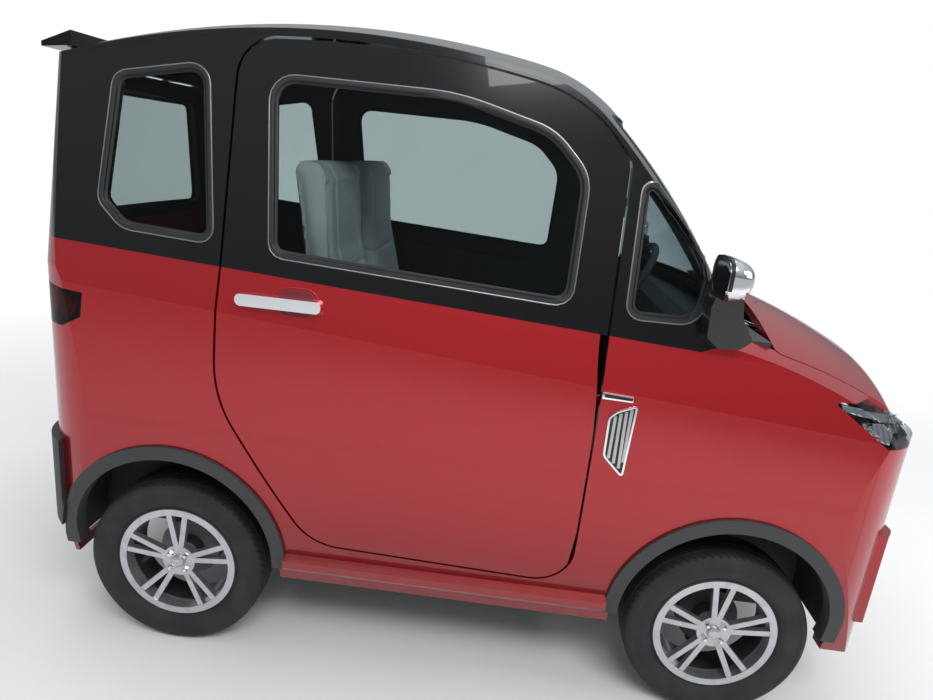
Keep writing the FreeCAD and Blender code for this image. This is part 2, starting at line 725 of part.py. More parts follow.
def front_bumper():
    """Band round the nose that stands proud of the face above and below it."""
    wire = plan_wire(plan_half_width, 0, 0).makeOffset2D(bumper_proud, join=0)
    face = Part.Face(wire)
    face.translate(Vector(0, 0, 340.0))
    band = face.extrude(Vector(0, 0, 260.0))
    chamfered = side_prism([(nose_seam_x + 30, 340.0), (front_end_x - 30, 340.0), (front_end_x - 6, 380.0),
                            (front_end_x + 5, 520.0), (front_end_x + 5, 560.0), (front_end_x - 40, 600.0),
                            (nose_seam_x + 30, 600.0)], -540.0, 540.0)
    return band.common(chamfered).cut(nose_solid(fender_wall))


rear_bumper_outline = [(rear_axle_x - arch_radius - 30, 420.0), (rear_end_x + 130, 330.0),
                       (rear_end_x + 40, 350.0), (rear_end_x - 20, 470.0), (rear_end_x - 20, 560.0),
                       (rear_end_x + 12, 591.0), (rear_axle_x - arch_radius - 30, 591.0)]


def rear_bumper():
    """Dark moulding round the foot of the tail."""
    wire = plan_wire(plan_half_width, 0, 0).makeOffset2D(bumper_proud, join=0)
    face = Part.Face(wire)
    face.translate(Vector(0, 0, 330.0))
    band = face.extrude(Vector(0, 0, 261.0))
    shaped = side_prism(rear_bumper_outline, -588.0, 588.0)
    return band.common(shaped).cut([body_block(side_wall)] + arches(arch_radius + flare_width + panel_seam))


def grille_bars():
    """Five slats on two posts, against the back of the nose panel."""
    depth_x = front_end_x - 105
    bars = [block(depth_x, front_end_x, side * 330.0 - 12, side * 330.0 + 12, 725.0, 815.0) for side in (-1, 1)]
    for number in range(5):
        z = 732.0 + number * 18.0
        bars.append(block(depth_x, front_end_x, -385.0, 385.0, z, z + 7))
    return bars[0].fuse(bars[1:]).common(nose_solid(fender_wall)).removeSplitter()


def skirt_zone():
    """Side view region of the sill below the door, between the arches."""
    rear_x = rear_axle_x + arch_radius + 18
    front_x = front_axle_x - arch_radius - 18
    low_z = door_bottom_z - door_gap - 14
    return side_prism([(rear_x - 60, 0.0), (front_x + 60, 0.0), (front_x + 60, low_z - 12),
                       (sill_front_x, low_z - 10), (sill_front_x, door_bottom_z + 30),
                       (sill_rear_x, door_bottom_z + 30), (sill_rear_x, low_z - 4), (rear_x - 60, low_z)],
                      -far, far)


def side_skirts():
    """Sill mouldings with a ridge along their length."""
    shell = cabin_solid(0.0).cut(cabin_solid(side_wall)).common(skirt_zone())
    shell = shell.cut(arches(arch_radius + 18) + [door_region(door_gap)])
    shell = shell.cut(block(-1300, 1300, -sill_half_width + 40, sill_half_width - 40, 0, 2000))
    rear_x = rear_axle_x + arch_radius + flare_width
    front_x = front_axle_x - arch_radius - flare_width
    ridge = front_prism([(500.0, 288.0), (562.0, 282.0), (580.0, 300.0), (577.0, 318.0), (556.0, 330.0),
                         (500.0, 330.0)], rear_x, front_x)
    ridge = ridge.cut(cabin_solid(side_wall))
    return shell.fuse([ridge, mirrored(ridge)]).removeSplitter()


def arch_flares():
    """Matte rims round the four wheel openings, outside the panels and lining their edge."""
    skin = body_block(-flare_proud)
    flares = []
    for axle_x in (rear_axle_x, front_axle_x):
        band = arch_cut(axle_x, arch_radius + flare_width, 0.0, far).cut(arch_cut(axle_x, arch_radius, -1.0, far))
        band = band.common(block(-1300, 1300, 0, far, sill_z + 40, 900))
        rim = band.common(skin).cut(body_block(0.0))
        lining = band.common(arch_cut(axle_x, arch_radius + 17.6, 0.0, far)).common(body_block(0.0))
        lining = lining.cut(body_block(side_wall))
        flares.append(rim.fuse(lining).removeSplitter())
    return Part.makeCompound([both_sides(flare) for flare in flares])


def wheel_liners():
    """Inner arches: a half-round shell with an inner wall, one over each wheel."""
    liners = []
    for axle_x, inner_y in ((rear_axle_x, rear_liner_inner_y), (front_axle_x, front_liner_inner_y)):
        outer = arch_cut(axle_x, liner_radius + liner_wall, inner_y - liner_wall, liner_outer_y)
        inner = arch_cut(axle_x, liner_radius, inner_y, liner_outer_y + 1)
        axle_room = rod(Vector(axle_x, inner_y - 20, tyre_radius), Vector(axle_x, inner_y + 20, tyre_radius), 75.0)
        liner = outer.cut([inner, axle_room]).common(block(-1300, 1300, 0, far, floor_z + 25, 900))
        liners.append(both_sides(liner.common(body_block(side_wall + 2))))
    return Part.makeCompound(liners)


def chassis_frame():
    """Two rails with a kick-up over the rear axle, and cross members between them."""
    kick_x = riser_x - 30
    depth = rail_top_z - rail_bottom_z
    profile = [(rail_front_x, rail_bottom_z), (rail_front_x, rail_top_z), (kick_x, rail_top_z),
               (kick_x - 70, rail_rear_z + depth), (-1090.0, rail_rear_z + depth), (-1090.0, rail_rear_z),
               (kick_x - 120, rail_rear_z), (kick_x - 60, rail_bottom_z)]
    left_rail = side_prism(profile, rail_inner_y, rail_outer_y)
    right_rail = side_prism(profile, -rail_outer_y, -rail_inner_y)
    cross = [(1020.0, rail_bottom_z), (560.0, rail_bottom_z), (60.0, rail_bottom_z), (-400.0, rail_bottom_z),
             (-1088.0, rail_rear_z)]
    members = [block(x, x + 38, -rail_inner_y, rail_inner_y, z + 5, z + depth - 5) for x, z in cross]
    tow_y = -(rail_inner_y + rail_outer_y) / 2
    tow_z = (rail_bottom_z + rail_top_z) / 2
    thread = rod(Vector(rail_front_x - tow_thread_depth, tow_y, tow_z), Vector(rail_front_x, tow_y, tow_z),
                 tow_thread_radius)
    return left_rail.fuse([right_rail] + members).cut(thread)


def cabin_tub():
    """Floor, front bulkhead, rear riser and deck."""
    half_width = sill_half_width - 40
    front_wall_y = front_liner_inner_y - liner_wall
    rear_wall_y = rear_liner_inner_y - liner_wall
    floor = block(riser_x, bulkhead_x, -half_width, half_width, floor_z, floor_z + floor_thickness)
    front_liner_edge = front_axle_x - liner_radius - liner_wall - 1
    for side in (-1, 1):
        y_from = min(side * front_wall_y, side * 700)
        y_to = max(side * front_wall_y, side * 700)
        floor = floor.cut(block(front_liner_edge, 1300, y_from, y_to, 0, 700))
        y_from = min(side * rear_wall_y, side * 700)
        y_to = max(side * rear_wall_y, side * 700)
        floor = floor.cut(block(riser_x - 20, rear_axle_x + liner_radius + liner_wall + 1, y_from, y_to, 0, 700))
    bulkhead = block(bulkhead_x, bulkhead_x + 14, -front_wall_y, front_wall_y, floor_z, 640.0)
    upper_wall = block(bulkhead_x, bulkhead_x + 14, -500.0, 500.0, 640.0, bulkhead_top_z)
    ledge = block(bulkhead_x, cowl_web_x + 14, -480.0, 480.0, bulkhead_top_z - 14, bulkhead_top_z)
    riser = block(riser_x - 14, riser_x, -rear_wall_y, rear_wall_y, floor_z, rear_deck_z)
    deck = block(rear_end_x + 75, riser_x, -rear_wall_y, rear_wall_y, rear_deck_z, rear_deck_z + floor_thickness)
    tub = floor.fuse([bulkhead, upper_wall, ledge, riser, deck]).removeSplitter()
    return tub


def cowl_panel():
    """Tray between windscreen and bonnet on the bulkhead's ledge, with an upstand under the windscreen's foot."""
    profile = [(cowl_web_x, bulkhead_top_z), (cowl_web_x + 10, bulkhead_top_z), (cowl_web_x + 10, cowl_top_z - 12),
               (cowl_front_x, cowl_top_z - 12), (cowl_front_x, cowl_top_z), (cowl_web_x, cowl_top_z)]
    tray = side_prism(profile, -cowl_half_width, cowl_half_width)
    room = block(600.0, 800.0, -cowl_half_width, cowl_half_width, cowl_top_z - 6, 1200.0)
    upstand = cabin_solid(10.0).cut(cabin_solid(20.0)).common(room).cut(above_belt())
    return tray.fuse([upstand] + bonnet_hinge_ears()).removeSplitter()


def battery_box():
    """Traction battery under the front seats."""
    return block(-340.0, 190.0, -430.0, 430.0, floor_z + floor_thickness, 470.0)


def axle_tube():
    return rod(Vector(rear_axle_x, -395, tyre_radius), Vector(rear_axle_x, 395, tyre_radius), 30.0)


def drive_axle():
    """Rear axle tube with the motor and final drive on it, drums and wheel spindles."""
    parts = [axle_tube()]
    parts.append(block(rear_axle_x - 105, rear_axle_x + 105, -60.0, 130.0, 150.0, 340.0))
    parts.append(rod(Vector(rear_axle_x, -210, tyre_radius + 8), Vector(rear_axle_x, -60, tyre_radius + 8), 80.0))
    for side in (-1, 1):
        parts.append(wheel_carrier(rear_axle_x, side, 395.0))
    return parts[0].fuse(parts[1:]).removeSplitter()


def wheel_carrier(axle_x, side, inner_y):
    """Drum and spindle that a wheel turns on; side is 1 for the left."""
    hub_y = wheel_track / 2 - 18
    drum = rod(Vector(axle_x, side * inner_y, tyre_radius), Vector(axle_x, side * (hub_y - 8), tyre_radius), drum_radius)
    pin = rod(Vector(axle_x, side * inner_y, tyre_radius), Vector(axle_x, side * (hub_y + 50), tyre_radius),
              spindle_radius)
    return drum.fuse(pin)


def king_eye(low, high):
    """Eye round the left kingpin."""
    king_y = wheel_track / 2 - steer_offset
    return ring_upright(king_eye_radius, king_radius + hinge_fit, low, high, front_axle_x, king_y)


def ring_upright(outer_radius, inner_radius, low, high, x, y):
    outer = rod(Vector(x, y, low), Vector(x, y, high), outer_radius)
    return outer.cut(rod(Vector(x, y, low - 1), Vector(x, y, high + 1), inner_radius))


def front_suspension():
    """Lower arms, and struts with their top brackets, each with an eye round the kingpin."""
    king_y = wheel_track / 2 - steer_offset
    pin_room = rod(Vector(front_axle_x, king_y, 0), Vector(front_axle_x, king_y, 400), king_radius + hinge_fit)
    eye_low_z = king_low_z + 4
    eye_high_z = king_high_z - 20
    arm = front_prism([(rail_outer_y, rail_bottom_z + 8), (rail_outer_y, rail_bottom_z + 32),
                       (king_y - 22, eye_low_z + 16), (king_y, eye_low_z + 16), (king_y, eye_low_z),
                       (king_y - 30, eye_low_z)], front_axle_x - 60, front_axle_x + 60)
    taper = plan_prism([(front_axle_x - 60, rail_outer_y), (front_axle_x + 60, rail_outer_y),
                        (front_axle_x + 24, king_y), (front_axle_x - 24, king_y)], 0, 400)
    arm = arm.common(taper).cut(pin_room).fuse(king_eye(eye_low_z, eye_low_z + 16)).removeSplitter()
    strut_y = 348.0
    tube = rod(Vector(front_axle_x, strut_y, eye_high_z), Vector(front_axle_x, strut_y, 560.0), 17.0)
    coil = rod(Vector(front_axle_x, strut_y, 400.0), Vector(front_axle_x, strut_y, 548.0), 38.0)
    bracket = block(front_axle_x - 45, front_axle_x + 45, front_liner_inner_y, strut_y + 40, 548.0, 566.0)
    foot = block(front_axle_x - 18, front_axle_x + 18, strut_y - 18, king_y, eye_high_z, eye_high_z + 16)
    strut = foot.cut(pin_room).fuse([tube, coil, bracket, king_eye(eye_high_z, eye_high_z + 16)]).removeSplitter()
    return Part.makeCompound([both_sides(arm), both_sides(strut)])


def rear_suspension():
    """Coil springs between axle and rails, and trailing arms from the kick-up to the axle."""
    spring_y = (rail_inner_y + rail_outer_y) / 2
    spring = rod(Vector(rear_axle_x, spring_y, tyre_radius + 30), Vector(rear_axle_x, spring_y, rail_rear_z), 36.0)
    arm = side_prism([(riser_x + 40, rail_bottom_z + 10), (riser_x + 40, rail_bottom_z + 40),
                      (rear_axle_x + 29, tyre_radius + 12), (rear_axle_x + 29, tyre_radius - 12)],
                     rail_outer_y, rail_outer_y + 30)
    return Part.makeCompound([both_sides(spring.cut(axle_tube())), both_sides(arm.cut(axle_tube()))])


def knuckle(side):
    """Upright that steers about a vertical kingpin and carries the front wheel."""
    king_y = wheel_track / 2 - steer_offset
    king = rod(Vector(front_axle_x, side * king_y, king_low_z), Vector(front_axle_x, side * king_y, king_high_z),
               king_radius)
    return king.fuse(wheel_carrier(front_axle_x, side, king_y - 5)).removeSplitter()


def tyre(axle_x, side):
    """Tyre with square shoulders, turned about the axle."""
    inner = rim_bead_radius + 6
    bead = rim_width / 2 - 6
    half = tyre_width / 2
    profile = [(-bead, inner), (bead, inner), (bead, rim_radius + 6), (half, rim_radius + 36),
               (half - 2, tyre_radius - 18, half - 17, tyre_radius - 3), (0, tyre_radius, -half + 17, tyre_radius - 3),
               (-half + 2, tyre_radius - 18, -half, rim_radius + 36), (-bead, rim_radius + 6)]
    solid = outline_face(profile, front_view).revolve(Vector(0, 0, 0), Vector(0, 1, 0), 360)
    solid.translate(Vector(axle_x, side * wheel_track / 2, tyre_radius))
    return solid


def rim(axle_x, side):
    """Alloy wheel: barrel with its flanges, hub with its bore, and pairs of spokes."""
    half = rim_width / 2
    seat = rim_bead_radius + 6 - glass_fit
    flange = half - 6 + glass_fit
    barrel_points = [(-half, rim_bead_radius - 4), (half, rim_bead_radius - 4), (half, rim_radius),
                     (flange, rim_radius), (flange, seat), (-flange, seat), (-flange, rim_radius),
                     (-half, rim_radius)]
    barrel = outline_face(barrel_points, front_view).revolve(Vector(0, 0, 0), Vector(0, 1, 0), 360)
    hub = ring(hub_radius, spindle_radius + spindle_fit, -20.0, 46.0, 0, 0)
    spokes = []
    for number in range(spoke_pairs):
        for lean in (-9.0, 9.0):
            spoke = front_prism([(26.0, hub_radius - 6), (46.0, hub_radius - 6), (half - 2, rim_bead_radius - 2),
                                 (38.0, rim_bead_radius - 2)], -7.5, 7.5)
            spoke.rotate(Vector(0, 0, 0), Vector(0, 1, 0), lean + number * 360 / spoke_pairs)
            spokes.append(spoke)
    wheel = barrel.fuse([hub] + spokes).removeSplitter()
    if side < 0:
        wheel = mirrored(wheel)
    wheel.translate(Vector(axle_x, side * wheel_track / 2, tyre_radius))
    return wheel


steering_centre = Vector(478.0, 245.0, 1050.0)
steering_tilt = 30.0
steering_radius = 160.0
steering_grip = 13.0
shaft_radius = 10.0


def column_axis():
    turn = math.radians(steering_tilt)
    return Vector(-math.cos(turn), 0, math.sin(turn))


def steering_wheel():
    """Rim, hub and three spokes, square to the column."""
    axis = column_axis()
    rim_ring = Part.makeTorus(steering_radius, steering_grip, steering_centre, axis)
    boss = Part.makeCylinder(38.0, 34.0, steering_centre - axis * 24, axis)
    spokes = []
    for angle in (0.0, 90.0, 180.0):
        turn = math.radians(angle)
        across = Vector(0, 1, 0)
        up = axis.cross(across)
        reach = (across * math.cos(turn) + up * math.sin(turn)) * (steering_radius - 4)
        spokes.append(rod(steering_centre, steering_centre + reach, 9.0))
    shaft = Part.makeCylinder(shaft_radius, 50.0, steering_centre - axis * 70, axis)
    return rim_ring.fuse([boss, shaft] + spokes).removeSplitter()


def dash_panel():
    """Dashboard across the cabin, with the column shroud on it."""
    profile = [(bulkhead_x, 860.0), (bulkhead_x, 1000.3), (642.0, 1000.3), (642.0, 1062.0), (560.0, 1075.0),
               (520.0, 1050.0), (505.0, 985.0), (515.0, 900.0)]
    panel = side_prism(profile, -478.0, 478.0)
    axis = column_axis()
    shroud = rod(steering_centre - axis * 80, steering_centre - axis * 30, 34.0)
    bore = rod(steering_centre - axis * 72, steering_centre - axis * 29, shaft_radius + hinge_fit)
    panel = panel.common(cabin_solid(pillar_wall + 2))
    return panel.fuse(shroud).cut(bore).removeSplitter()


def seat_cushions():
    """Two front cushions on the battery box."""
    front = side_prism(rounded_box(-235.0, 235.0, 470.3, 610.0, 45.0), 45.0, 455.0)
    return both_sides(front)


def seat_backs():
    """High one-piece backs that lean rearwards and stand on the battery box."""
    front = side_prism([(-238.0, 470.3), (-330.0, 470.3), (-372.0, 560.0), (-500.0, 1330.0),
                        (-490.0, 1370.0, -455.0, 1375.0), (-420.0, 1360.0, -415.0, 1320.0),
                        (-400.0, 1150.0), (-262.0, 640.0)], 55.0, 445.0)
    return both_sides(front)


def mirror_head():
    """Housing of the left mirror: a flat rear face that rounds off forwards."""
    sections = []
    for x, half_width, half_height, radius in mirror_sections:
        outline = rounded_box(mirror_y - half_width, mirror_y + half_width,
                              mirror_z - half_height, mirror_z + half_height, radius)
        wire = closed_wire(rounded_points(outline, 0.0), front_view)
        wire.translate(Vector(x, 0, 0))
        sections.append(wire)
    return Part.makeLoft(sections, True, False)


def mirrors():
    """Mirrors on the feet of the windscreen pillars: head on a foot that widens towards it."""
    side = side_prism(mirror_foot, 480.0, 700.0)
    front = front_prism([(480.0, 1035.0), (566.0, 1035.0), (592.0, 1110.0), (618.0, mirror_z - 20),
                         (480.0, mirror_z - 20)], 500.0, 700.0)
    foot = side.common(front).cut(body_block(0.0))
    return both_sides(foot.fuse(mirror_head()).removeSplitter())


def door_handle(side):
    """Bar handle on the door skin with its cup."""
    z = 1034.0
    bar = side_prism(rounded_box(-590.0, -378.0, z - 15, z + 15, 14.0), 545.0, 588.0)
    bar = bar.cut(body_block(0.0))
    if side < 0:
        bar = mirrored(bar)
    return bar


def build():
    pieces = body_pieces()
    pieces["rear_bumper"] = rear_bumper()
    pieces["side_skirts"] = side_skirts()
    pieces["arch_flares"] = arch_flares()
    pieces["wheel_liners"] = wheel_liners()
    pieces["chassis_frame"] = chassis_frame()
    pieces["cabin_tub"] = cabin_tub()
    pieces["cowl_panel"] = cowl_panel()
    pieces["battery_box"] = battery_box()
    pieces["drive_axle"] = drive_axle()
    pieces["front_suspension"] = front_suspension()
    pieces["rear_suspension"] = rear_suspension()
    pieces["dash_panel"] = dash_panel()
    pieces["seat_cushions"] = seat_cushions()
    pieces["seat_backs"] = seat_backs()
    pieces["mirrors"] = mirrors()
    pieces["steering_wheel"] = steering_wheel()
    for side_name, side in (("left", 1), ("right", -1)):
        pieces["door_" + side_name + "_handle"] = door_handle(side)
        pieces["knuckle_" + side_name] = knuckle(side)
        for end_name, axle_x in (("front", front_axle_x), ("rear", rear_axle_x)):
            pieces["tyre_" + end_name + "_" + side_name] = tyre(axle_x, side)
            pieces["rim_" + end_name + "_" + side_name] = rim(axle_x, side)
    return pieces


os.makedirs("parts", exist_ok=True)
for node_name, node_shape in build().items():
    solids = node_shape.Solids
    kept = Part.makeCompound(solids) if len(solids) > 1 else solids[0]
    kept.exportStep("parts/" + node_name + ".step")
    print(node_name, len(solids), round(kept.Volume / 1e6, 3), kept.isValid())
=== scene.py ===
# %% [markdown]
# # A small two-door microcar
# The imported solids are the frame: every panel, wheel and hinge is already in its place, in metres.
# This lesson gives them paint, glass and rubber, and adds the seams, seals and small parts that a
# solid model leaves out. Nothing that the frame brings is moved or reshaped.

# %% Load the frame
import json
import math

import bmesh
import bpy
from mathutils import Matrix, Vector
from mathutils.bvhtree import BVHTree


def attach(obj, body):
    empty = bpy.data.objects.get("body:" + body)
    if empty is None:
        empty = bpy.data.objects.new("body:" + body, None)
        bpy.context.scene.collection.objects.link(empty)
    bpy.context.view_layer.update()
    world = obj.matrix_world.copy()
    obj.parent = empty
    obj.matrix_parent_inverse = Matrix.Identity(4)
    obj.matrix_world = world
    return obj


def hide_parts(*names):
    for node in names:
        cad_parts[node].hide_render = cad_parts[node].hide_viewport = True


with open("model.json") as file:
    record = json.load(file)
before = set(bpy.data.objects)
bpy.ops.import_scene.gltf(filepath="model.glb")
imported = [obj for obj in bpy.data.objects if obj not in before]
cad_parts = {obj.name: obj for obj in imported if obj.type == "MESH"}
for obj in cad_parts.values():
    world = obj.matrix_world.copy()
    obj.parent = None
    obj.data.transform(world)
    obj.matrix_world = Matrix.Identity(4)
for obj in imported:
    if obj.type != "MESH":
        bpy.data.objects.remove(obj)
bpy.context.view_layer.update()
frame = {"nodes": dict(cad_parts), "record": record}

scene = bpy.context.scene
record = frame["record"]
nodes = frame["nodes"]
slot_of_node = {row["node"]: row["material_slot"] for row in record["subparts"]}

# Wheel centres as the frame has them
front_axle_x, rear_axle_x, wheel_y, wheel_radius = 0.735, -0.765, 0.490, 0.247

# %% [markdown]
# ## The camera
# The photograph was taken from standing height beside the front wheel, with the camera tipped down
# and turned a little. Its place and its three turns were worked out from points on the car, so they
# are written as numbers and made into the camera's matrix.

# %% Camera
camera_place = Vector((0.0485, -2.1501, 1.4216))
camera_pan = math.radians(-2.41255)
camera_pitch = math.radians(15.92186)
camera_roll = math.radians(6.10851)
camera_lens = 26.04
sensor_width = 36.0
photo_width, photo_height = 933.0, 700.0


def camera_axes():
    """The camera's own right, up and ahead."""
    ahead = Vector((math.sin(camera_pan) * math.cos(camera_pitch),
                    math.cos(camera_pan) * math.cos(camera_pitch), -math.sin(camera_pitch)))
    level = Vector((math.cos(camera_pan), -math.sin(camera_pan), 0.0))
    upright = level.cross(ahead)
    right = math.cos(camera_roll) * level + math.sin(camera_roll) * upright
    up = -math.sin(camera_roll) * level + math.cos(camera_roll) * upright
    return right, up, ahead


def photo_camera():
    """Camera at the photograph's viewpoint."""
    right, up, ahead = camera_axes()
    data = bpy.data.cameras.new("photo_camera")
    data.sensor_width = sensor_width
    data.lens = camera_lens
    data.clip_end = 200.0
    camera = bpy.data.objects.new("photo_camera", data)
    scene.collection.objects.link(camera)
    matrix = Matrix((right, up, -ahead)).transposed().to_4x4()
    matrix.translation = camera_place
    camera.matrix_world = matrix
    return camera


scene.camera = photo_camera()
print("camera at", tuple(camera_place), "lens", camera_lens, "mm")

# %% [markdown]
# ## Shader maths
# A material is a net of nodes. To keep the recipes short, a small class wraps a socket, so that
# `1 - mask * 0.5` adds the two Math nodes by itself. Colours use Mix, because a Math node would turn
# them grey.

# %% Socket wrapper and material builder


class Value:
    """A shader socket that numbers and other values can be added to or multiplied with."""

    def __init__(self, finish, socket):
        self.finish = finish
        self.socket = socket

    def maths(self, operation, first, second):
        node = self.finish.tree.nodes.new("ShaderNodeMath")
        node.operation = operation
        for place, value in enumerate((first, second)):
            self.finish.feed(node.inputs[place], value)
        return Value(self.finish, node.outputs[0])

    def __add__(self, other):
        return self.maths("ADD", self, other)

    __radd__ = __add__

    def __sub__(self, other):
        return self.maths("SUBTRACT", self, other)

    def __rsub__(self, other):
        return self.maths("SUBTRACT", other, self)

    def __mul__(self, other):
        return self.maths("MULTIPLY", self, other)

    __rmul__ = __mul__

    def __gt__(self, other):
        return self.maths("GREATER_THAN", self, other)

    def __lt__(self, other):
        return self.maths("LESS_THAN", self, other)

    def absolute(self):
        return self.maths("ABSOLUTE", self, 0.0)

    def sine(self):
        return self.maths("SINE", self, 0.0)

    def root(self):
        return self.maths("SQRT", self, 0.0)


class Finish:
    """One material, with its Principled shader and the helpers that fill it."""

    def __init__(self, name, **constants):
        self.material = bpy.data.materials.new(name)
        self.material.use_nodes = True
        self.tree = self.material.node_tree
        self.tree.nodes.clear()
        self.output = self.tree.nodes.new("ShaderNodeOutputMaterial")
        self.shader = self.tree.nodes.new("ShaderNodeBsdfPrincipled")
        self.tree.links.new(self.shader.outputs[0], self.output.inputs["Surface"])
        for words, value in constants.items():
            self.set(words.replace("_", " ").title(), value)
        where = self.tree.nodes.new("ShaderNodeTexCoord")
        self.place = where.outputs["Object"]
        split = self.tree.nodes.new("ShaderNodeSeparateXYZ")
        self.tree.links.new(self.place, split.inputs[0])
        self.x, self.y, self.z = [Value(self, socket) for socket in split.outputs]
        facing = self.tree.nodes.new("ShaderNodeSeparateXYZ")
        self.tree.links.new(where.outputs["Normal"], facing.inputs[0])
        self.face_y = Value(self, facing.outputs[1])

    def feed(self, socket, value):
        if isinstance(value, Value):
            value = value.socket
        if isinstance(value, bpy.types.NodeSocket):
            self.tree.links.new(value, socket)
        elif isinstance(value, (tuple, list)) and len(value) == 3 and len(socket.default_value) == 4:
            socket.default_value = (*value, 1.0)
        else:
            socket.default_value = value

    def set(self, name, value):
        names = {"Coat Ior": "Coat IOR", "Specular": "Specular IOR Level", "Coat": "Coat Weight"}
        self.feed(self.shader.inputs[names.get(name, name)], value)

    def maths(self, operation, first, second):
        return Value(self, first.socket).maths(operation, first, second)

    def node(self, kind, settings, sockets):
        """Any node, with its settings first and then its sockets; gives its outputs by name."""
        made = self.tree.nodes.new(kind)
        for name, value in settings.items():
            setattr(made, name, value)
        for name, value in sockets.items():
            self.feed(made.inputs[name], value)
        return {socket.name: Value(self, socket) for socket in made.outputs if socket.enabled}

    def noise(self, scale, detail=4.0):
        """Cloudy pattern from 0 to 1 in the object's own space; scale counts cells per metre."""
        made = self.node("ShaderNodeTexNoise", {}, {"Vector": self.place, "Scale": scale, "Detail": detail})
        return made["Fac"] if "Fac" in made else made["Factor"]

    def cells(self, scale):
        """Random level for each of many small cells."""
        made = self.node("ShaderNodeTexVoronoi", {}, {"Vector": self.place, "Scale": scale})
        grey = self.node("ShaderNodeSeparateColor", {}, {"Color": made["Color"]})
        return grey["Red"]

    def span(self, value, low, high, to_low=0.0, to_high=1.0):
        """Value carried from one range to another and held at its ends."""
        return self.node("ShaderNodeMapRange", {"clamp": True},
                         {"Value": value, "From Min": low, "From Max": high, "To Min": to_low,
                          "To Max": to_high})["Result"]

    def blend(self, factor, first, second):
        """Colour between two colours."""
        made = self.tree.nodes.new("ShaderNodeMix")
        made.data_type = "RGBA"
        self.feed(made.inputs[0], factor)
        self.feed(made.inputs[6], first)
        self.feed(made.inputs[7], second)
        return Value(self, made.outputs[2])

    def inside(self):
        """1 where a wall of the body faces the cabin, 0 where it faces outwards."""
        outward = self.face_y * self.span(self.y, -0.02, 0.02, -1.0, 1.0)
        return outward < -0.25

    def bump(self, height, distance, strength=1.0):
        made = self.node("ShaderNodeBump", {}, {"Height": height, "Distance": distance, "Strength": strength})
        self.set("Normal", made["Normal"])


finishes = {}

# %% [markdown]
# ## Paint
# The lower body is candy red: a metallic base under a thick clear coat. The flakes are small cells
# of a slightly different red and roughness, and the clear coat stays smooth above them. Towards the
# bottom the red is painted darker, a painted shade of the lower body. Dust makes the paint duller
# low down, where the wheels throw it. Walls that face the cabin are black trim.

# %% Red metallic paint


def red_paint():
    finish = Finish("red_metallic_paint", coat_roughness=0.03, coat_ior=1.5)
    flakes = finish.cells(1500.0)
    # Painted shade: this mask grows towards the bottom of the body and darkens the red there
    low = finish.span(finish.z, 0.28, 0.95, 1.0, 0.0)
    cloud = finish.noise(3.0)
    colour = finish.blend(flakes * 0.3 + cloud * 0.15, (0.44, 0.003, 0.008), (0.60, 0.008, 0.018))
    # Painted shade of the lower body, darkest near the sill
    colour = finish.blend(low * 0.7, colour, (0.20, 0.001, 0.005))
    dust = finish.span(finish.z, 0.22, 0.42, 0.30, 0.0) * finish.noise(18.0)
    colour = finish.blend(dust, colour, (0.26, 0.18, 0.15))
    inside = finish.inside()
    finish.set("Base Color", finish.blend(inside, colour, (0.024, 0.024, 0.026)))
    finish.set("Metallic", 0.72 - inside * 0.72)
    finish.set("Coat Weight", 1.0 - inside)
    finish.set("Roughness", 0.34 + flakes * 0.08 + dust * 0.4 + inside * 0.25)
    return finish.material


finishes["body_paint"] = red_paint()

# %% [markdown]
# The roof, the pillars and the door frames are gloss black. Real black paint shows a faint haze of
# dust on upward faces, so its roughness wanders a little.

# %% Gloss black paint


def black_gloss(name, base, roughness):
    finish = Finish(name, coat_roughness=0.015, coat_ior=1.33, specular=0.25)
    haze = finish.noise(9.0, 6.0)
    inside = finish.inside()
    colour = finish.blend(haze * 0.5, base, tuple(channel * 1.7 + 0.002 for channel in base))
    finish.set("Base Color", finish.blend(inside, colour, (0.030, 0.030, 0.032)))
    finish.set("Coat Weight", 0.9 - inside * 0.9)
    finish.set("Roughness", roughness + haze * 0.08 + inside * 0.4)
    return finish.material


finishes["black_paint"] = black_gloss("gloss_black_paint", (0.0035, 0.0035, 0.0045), 0.12)
finishes["grille_plastic"] = black_gloss("gloss_black_plastic", (0.010, 0.010, 0.011), 0.28)

# %% [markdown]
# ## Plastic and rubber
# Unpainted mouldings are grained: a fine noise in the bump. Window seals and tyres are softer and
# darker, with a coarser skin.

# %% Grained plastic and rubber


def grained(name, base, lighter, roughness, grain, depth):
    finish = Finish(name)
    fine = finish.noise(grain, 3.0)
    wide = finish.noise(6.0, 3.0)
    finish.set("Base Color", finish.blend(wide * 0.7 + fine * 0.2, base, lighter))
    finish.set("Roughness", roughness + fine * 0.18)
    finish.bump(fine, depth, 0.6)
    return finish.material


# Each row: slot, name, darkest and lightest colour, roughness, grains per metre, depth of the grain
grained_finishes = (
    ("trim_plastic", "grained_trim", (0.030, 0.031, 0.034), (0.050, 0.051, 0.054), 0.50, 900.0, 0.0003),
    ("cabin_plastic", "cabin_trim", (0.020, 0.020, 0.022), (0.034, 0.034, 0.036), 0.55, 1100.0, 0.0002),
    ("seal_rubber", "seal_rubber", (0.010, 0.010, 0.010), (0.022, 0.022, 0.022), 0.42, 500.0, 0.0002),
    ("chassis_steel", "black_chassis_paint", (0.018, 0.018, 0.018), (0.045, 0.040, 0.036), 0.55, 220.0,
     0.0003),
    ("axle_casting", "cast_metal", (0.12, 0.12, 0.12), (0.20, 0.19, 0.18), 0.55, 320.0, 0.0006),
    ("battery_casing", "battery_case", (0.05, 0.05, 0.055), (0.08, 0.08, 0.085), 0.5, 400.0, 0.0002))
for slot, *recipe in grained_finishes:
    finishes[slot] = grained(*recipe)


